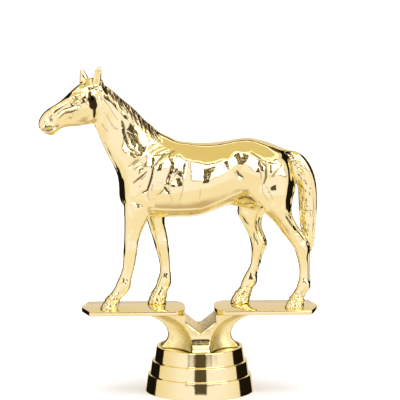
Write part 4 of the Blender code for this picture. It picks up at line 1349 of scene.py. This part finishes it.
def gold(name, texture=None, with_painted_shade=False):
    """Bright gold plating: almost a mirror, with slow waves, fine haze and one optional fine texture. With
    painted shade, the colour is painted deep brown as shade in folds, partings and nicks, and in dark specks
    on the hooves, where the mesh's masks say so."""
    material = bpy.data.materials.new(name)
    material.use_nodes = True
    tree = material.node_tree
    shader = tree.nodes["Principled BSDF"]
    shader.inputs["Metallic"].default_value = 1.0
    nodes = Nodes(tree)
    place = nodes.add("ShaderNodeTexCoord").outputs["Object"]
    tinted = nodes.two_tone(nodes.noise(place, 55.0, 3.0), GOLD_LOW, GOLD_HIGH, 0.3, 0.7)
    if with_painted_shade:
        # Dark specks on the hooves, and painted shade from the mesh's dark mask, mixed to deep brown
        specks = nodes.math("SUBTRACT", 1.0, nodes.step(nodes.cells(place, 780.0), 0.16, 0.26))
        specks = nodes.times(specks, mask_of(nodes, "stipple"))
        painted_shade_and_specks = nodes.math("MAXIMUM", mask_of(nodes, "dark"), nodes.times(specks, 0.8))
        deep = nodes.add("ShaderNodeMix", data_type="RGBA", inputs={0: painted_shade_and_specks})
        tree.links.new(tinted, deep.inputs[6])
        deep.inputs[7].default_value = (*GOLD_PAINTED_SHADE_AND_SPECKS, 1)
        tinted = deep.outputs[2]
    tree.links.new(tinted, shader.inputs["Base Color"])
    haze = nodes.noise(place, 900.0, 4.0)
    rough = nodes.add("ShaderNodeMapRange", inputs={0: haze, 1: 0.35, 2: 0.7, 3: 0.045, 4: 0.10})
    roughness = rough.outputs[0]
    waves = nodes.noise(place, 170.0, 1.0)
    bump = nodes.add(
        "ShaderNodeBump",
        inputs={"Strength": 0.2 if texture else 0.04, "Distance": 0.0004, "Height": waves},
    )
    if texture is not None:
        height, mask, depth, dull = texture(nodes, place)
        roughness = nodes.math("ADD", roughness, nodes.times(mask, dull))
        fine = nodes.add(
            "ShaderNodeBump",
            inputs={
                "Strength": 1.0,
                "Distance": depth,
                "Height": nodes.times(height, mask),
                "Normal": bump.outputs[0],
            },
        )
        bump = fine
    tree.links.new(roughness, shader.inputs["Roughness"])
    tree.links.new(bump.outputs[0], shader.inputs["Normal"])
    return material


def mask_of(nodes, name):
    """The value that the mesh keeps under a name."""
    return nodes.add("ShaderNodeAttribute", attribute_name=name).outputs["Fac"]


def horse_texture(nodes, place):
    """Fine strands on mane and tail, and stippled hair on pasterns and hooves."""
    hair, stipple = mask_of(nodes, "hair"), mask_of(nodes, "stipple")
    stretch = nodes.add("ShaderNodeMapping", inputs={"Vector": place, "Rotation": (0, math.radians(-14), 0)})
    stretch.inputs["Scale"].default_value = (1.0, 1.0, 0.16)
    strands = nodes.add(
        "ShaderNodeTexNoise",
        inputs={"Vector": stretch.outputs[0], "Scale": 1500.0, "Detail": 2.0, "Distortion": 0.3},
    )
    pits = nodes.step(nodes.cells(place, 1300.0), 0.05, 0.55)
    height = nodes.math("ADD", nodes.times(strands.outputs[0], hair), nodes.times(pits, stipple))
    return height, nodes.math("MAXIMUM", hair, stipple), 0.00022, 0.03


def grain_texture(nodes, place):
    """Coarse satin grain on the bracket's hollowed flanks."""
    return nodes.noise(place, 2600.0, 3.0), mask_of(nodes, "grain"), 0.00016, 0.22


# The studio: colours of what the plating mirrors
TENT_NEAR = (1.02, 1.08, 1.45)
TENT_SIDE = (0.88, 0.86, 0.80)
TENT_REAR = (0.78, 0.76, 0.70)
FLOOR_NEAR = (0.96, 0.97, 1.05)
FLOOR_UNDER = (0.60, 0.53, 0.45)
CEILING_EDGE = (1.7, 1.7, 1.8)
CEILING = (0.76, 0.70, 0.44)
LENS = (0.09, 0.075, 0.05)
DEGREES = 57.2958
TINGE = (1.05, 0.90, 0.80)
LENS_PATCH = (-14.0, 14.0, 8.0, 43.0, 0.8, 0.4)
LENS_FOOT = (-13.0, 13.0, 2.6, 12.0, 0.6, 0.15)
WORLD_PATCHES = (  # colour, then turn from and to, rise from and to, softness and raggedness
    ((0.12, 0.095, 0.06), -35.0, 69.0, 9.6, 53.0, 0.8, 0.5),
    ((2.8, 2.8, 3.2), -32.0, 66.0, 11.4, 49.5, 0.8, 0.6),
    ((0.16, 0.11, 0.06), 125.0, 181.0, 45.0, 53.0, 1.5, 0.0),
    ((0.16, 0.11, 0.06), -181.0, -125.0, 45.0, 53.0, 1.5, 0.0),
    ((0.010, 0.008, 0.006), -165.0, -111.0, -26.0, 46.0, 1.2, 0.0),
    ((0.010, 0.008, 0.006), 94.0, 150.0, -26.0, 46.0, 1.2, 0.0),
)


def build_world():
    """A white tent under a warm ceiling, with a wide soft box, a speckled dark opening in the middle of it
    where the photographer stood, and two tall dark openings towards the back. Only the plating mirrors it:
    the camera and plain surfaces see white."""
    world = bpy.data.worlds.new("studio")
    world.use_nodes = True
    tree = world.node_tree
    tree.nodes.clear()
    nodes = Nodes(tree)
    way = nodes.add("ShaderNodeTexCoord").outputs["Generated"]
    x, y, z = nodes.add("ShaderNodeSeparateXYZ", inputs={0: way}).outputs
    turn = nodes.times(nodes.math("ARCTAN2", x, nodes.times(y, -1.0)), DEGREES)
    rise = nodes.times(nodes.math("ARCSINE", z), DEGREES)
    away = nodes.math("ABSOLUTE", turn)
    blots = nodes.step(nodes.noise(way, 30.0, 5.0), 0.57, 0.66)
    wobble = nodes.times(nodes.math("SUBTRACT", nodes.noise(way, 9.0, 2.0), 0.5), 7.0)

    def patch(turn_low, turn_high, rise_low, rise_high, soft, ragged):
        across, up = turn, rise
        if ragged:
            shift = nodes.times(wobble, ragged)
            across, up = nodes.math("ADD", turn, shift), nodes.math("ADD", rise, shift)
        sides = nodes.window(across, turn_low, turn_high, soft)
        return nodes.times(sides, nodes.window(up, rise_low, rise_high, soft))

    def paint(below, colour, mask):
        mix = nodes.add("ShaderNodeMix", data_type="RGBA", inputs={0: mask})
        if isinstance(below, tuple):
            mix.inputs[6].default_value = (*below, 1)
        else:
            tree.links.new(below, mix.inputs[6])
        mix.inputs[7].default_value = (*colour, 1)
        return mix.outputs[2]

    light = paint(TENT_NEAR, TENT_SIDE, nodes.step(away, 35.0, 112.0))
    light = paint(light, TENT_REAR, nodes.step(away, 145.0, 165.0))
    light = paint(light, FLOOR_NEAR, nodes.step(nodes.times(rise, -1.0), 9.0, 16.0))
    light = paint(light, FLOOR_UNDER, nodes.step(nodes.times(rise, -1.0), 40.0, 66.0))
    light = paint(light, CEILING_EDGE, nodes.step(rise, 53.0, 54.0))
    light = paint(light, CEILING, nodes.step(rise, 56.5, 58.5))
    for colour, *window in WORLD_PATCHES:
        light = paint(light, colour, patch(*window))
    lens = patch(*LENS_PATCH)
    lens = nodes.times(lens, nodes.math("SUBTRACT", 1.0, nodes.times(blots, 0.8)))
    lens = nodes.math("MAXIMUM", lens, patch(*LENS_FOOT))
    light = paint(light, LENS, lens)
    tinge = nodes.add("ShaderNodeMix", data_type="RGBA", blend_type="MULTIPLY", inputs={0: 1.0, 6: light})
    tinge.inputs[7].default_value = (*TINGE, 1)
    light = tinge.outputs[2]
    lit = nodes.add("ShaderNodeBackground", inputs={"Color": light, "Strength": 1.0})
    plain = nodes.add("ShaderNodeBackground", inputs={"Color": (1, 1, 1, 1), "Strength": 1.0})
    path = nodes.add("ShaderNodeLightPath")
    soft = nodes.math("MAXIMUM", path.outputs["Is Camera Ray"], path.outputs["Is Diffuse Ray"])
    mixed = nodes.add("ShaderNodeMixShader", inputs={0: soft, 1: lit.outputs[0], 2: plain.outputs[0]})
    out = nodes.add("ShaderNodeOutputWorld")
    tree.links.new(mixed.outputs[0], out.inputs["Surface"])
    bpy.context.scene.world = world


FLOOR_DARK = (0.90, 0.90, 0.89)
FLOOR_LIGHT = (0.93, 0.93, 0.925)


def build_floor():
    """A plain pale floor, lit by a soft light overhead that the plating doesn't mirror."""
    bm = bmesh.new()
    bmesh.ops.create_circle(bm, cap_ends=True, segments=96, radius=2.5)
    floor = new_object("floor", mesh_of(bm, "floor"))
    material = bpy.data.materials.new("pale floor")
    material.use_nodes = True
    shader = material.node_tree.nodes["Principled BSDF"]
    shader.inputs["Roughness"].default_value = 0.9
    nodes = Nodes(material.node_tree)
    place = nodes.add("ShaderNodeTexCoord").outputs["Object"]
    mottled = nodes.two_tone(nodes.noise(place, 30.0, 3.0), FLOOR_DARK, FLOOR_LIGHT)
    material.node_tree.links.new(mottled, shader.inputs["Base Color"])
    floor.data.materials.append(material)
    floor.visible_glossy = False
    lamp = bpy.data.lights.new("overhead", "AREA")
    lamp.shape = "DISK"
    lamp.size = 1.6
    lamp.energy = 13.0
    light = bpy.data.objects.new("overhead", lamp)
    light.visible_glossy = False
    light.location = (0.0, -0.2, 1.5)
    light.visible_camera = False
    bpy.context.scene.collection.objects.link(light)


CAMERA_TURN = math.radians(-2.5)
CAMERA_RISE = math.radians(10.0)
CAMERA_DISTANCE = 1.6
PIXELS_PER_METRE = 2590.0
IMAGE = 400
# The image's middle, in pixels to the right of and above the base's axis at the plates' top
IMAGE_MIDDLE = (0.4, 105.8)


def build_camera():
    """The photograph's view: from the horse's left, a little above, through a long lens."""
    back = Vector(
        (
            math.sin(CAMERA_TURN) * math.cos(CAMERA_RISE),
            -math.cos(CAMERA_TURN) * math.cos(CAMERA_RISE),
            math.sin(CAMERA_RISE),
        )
    )
    right = Vector((math.cos(CAMERA_TURN), math.sin(CAMERA_TURN), 0.0))
    up = back.cross(right)
    lens = bpy.data.cameras.new("camera")
    lens.sensor_width = 36.0
    lens.lens = PIXELS_PER_METRE * CAMERA_DISTANCE * lens.sensor_width / IMAGE
    camera = bpy.data.objects.new("camera", lens)
    aside, above = (share / PIXELS_PER_METRE for share in IMAGE_MIDDLE)
    middle = Vector((AXIS_X, 0, GROUND)) + right * aside + up * above
    camera.location = middle + back * CAMERA_DISTANCE
    camera.rotation_mode = "QUATERNION"
    camera.rotation_quaternion = back.to_track_quat("Z", "Y")
    bpy.context.scene.collection.objects.link(camera)
    bpy.context.scene.camera = camera


def main():
    """Dresses the frame."""
    horse = build_horse()
    front_plate, rear_plate = build_plates()
    bracket = build_bracket()
    base = build_base()
    plain = gold("gold plating")
    horse.data.materials.append(gold("gold plating on the horse", horse_texture, with_painted_shade=True))
    bracket.data.materials.clear()
    bracket.data.materials.append(gold("gold plating on the bracket", grain_texture))
    for piece in (front_plate, rear_plate, base):
        piece.data.materials.clear()
        piece.data.materials.append(plain)
    for piece in (horse, front_plate, rear_plate, bracket, base):
        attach(piece, "root")
    for piece in (horse, front_plate, rear_plate, bracket):
        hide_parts("horse_figure")
    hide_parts("round_base")
    build_world()
    build_floor()
    build_camera()
    bpy.context.scene.view_settings.view_transform = "Standard"


main()
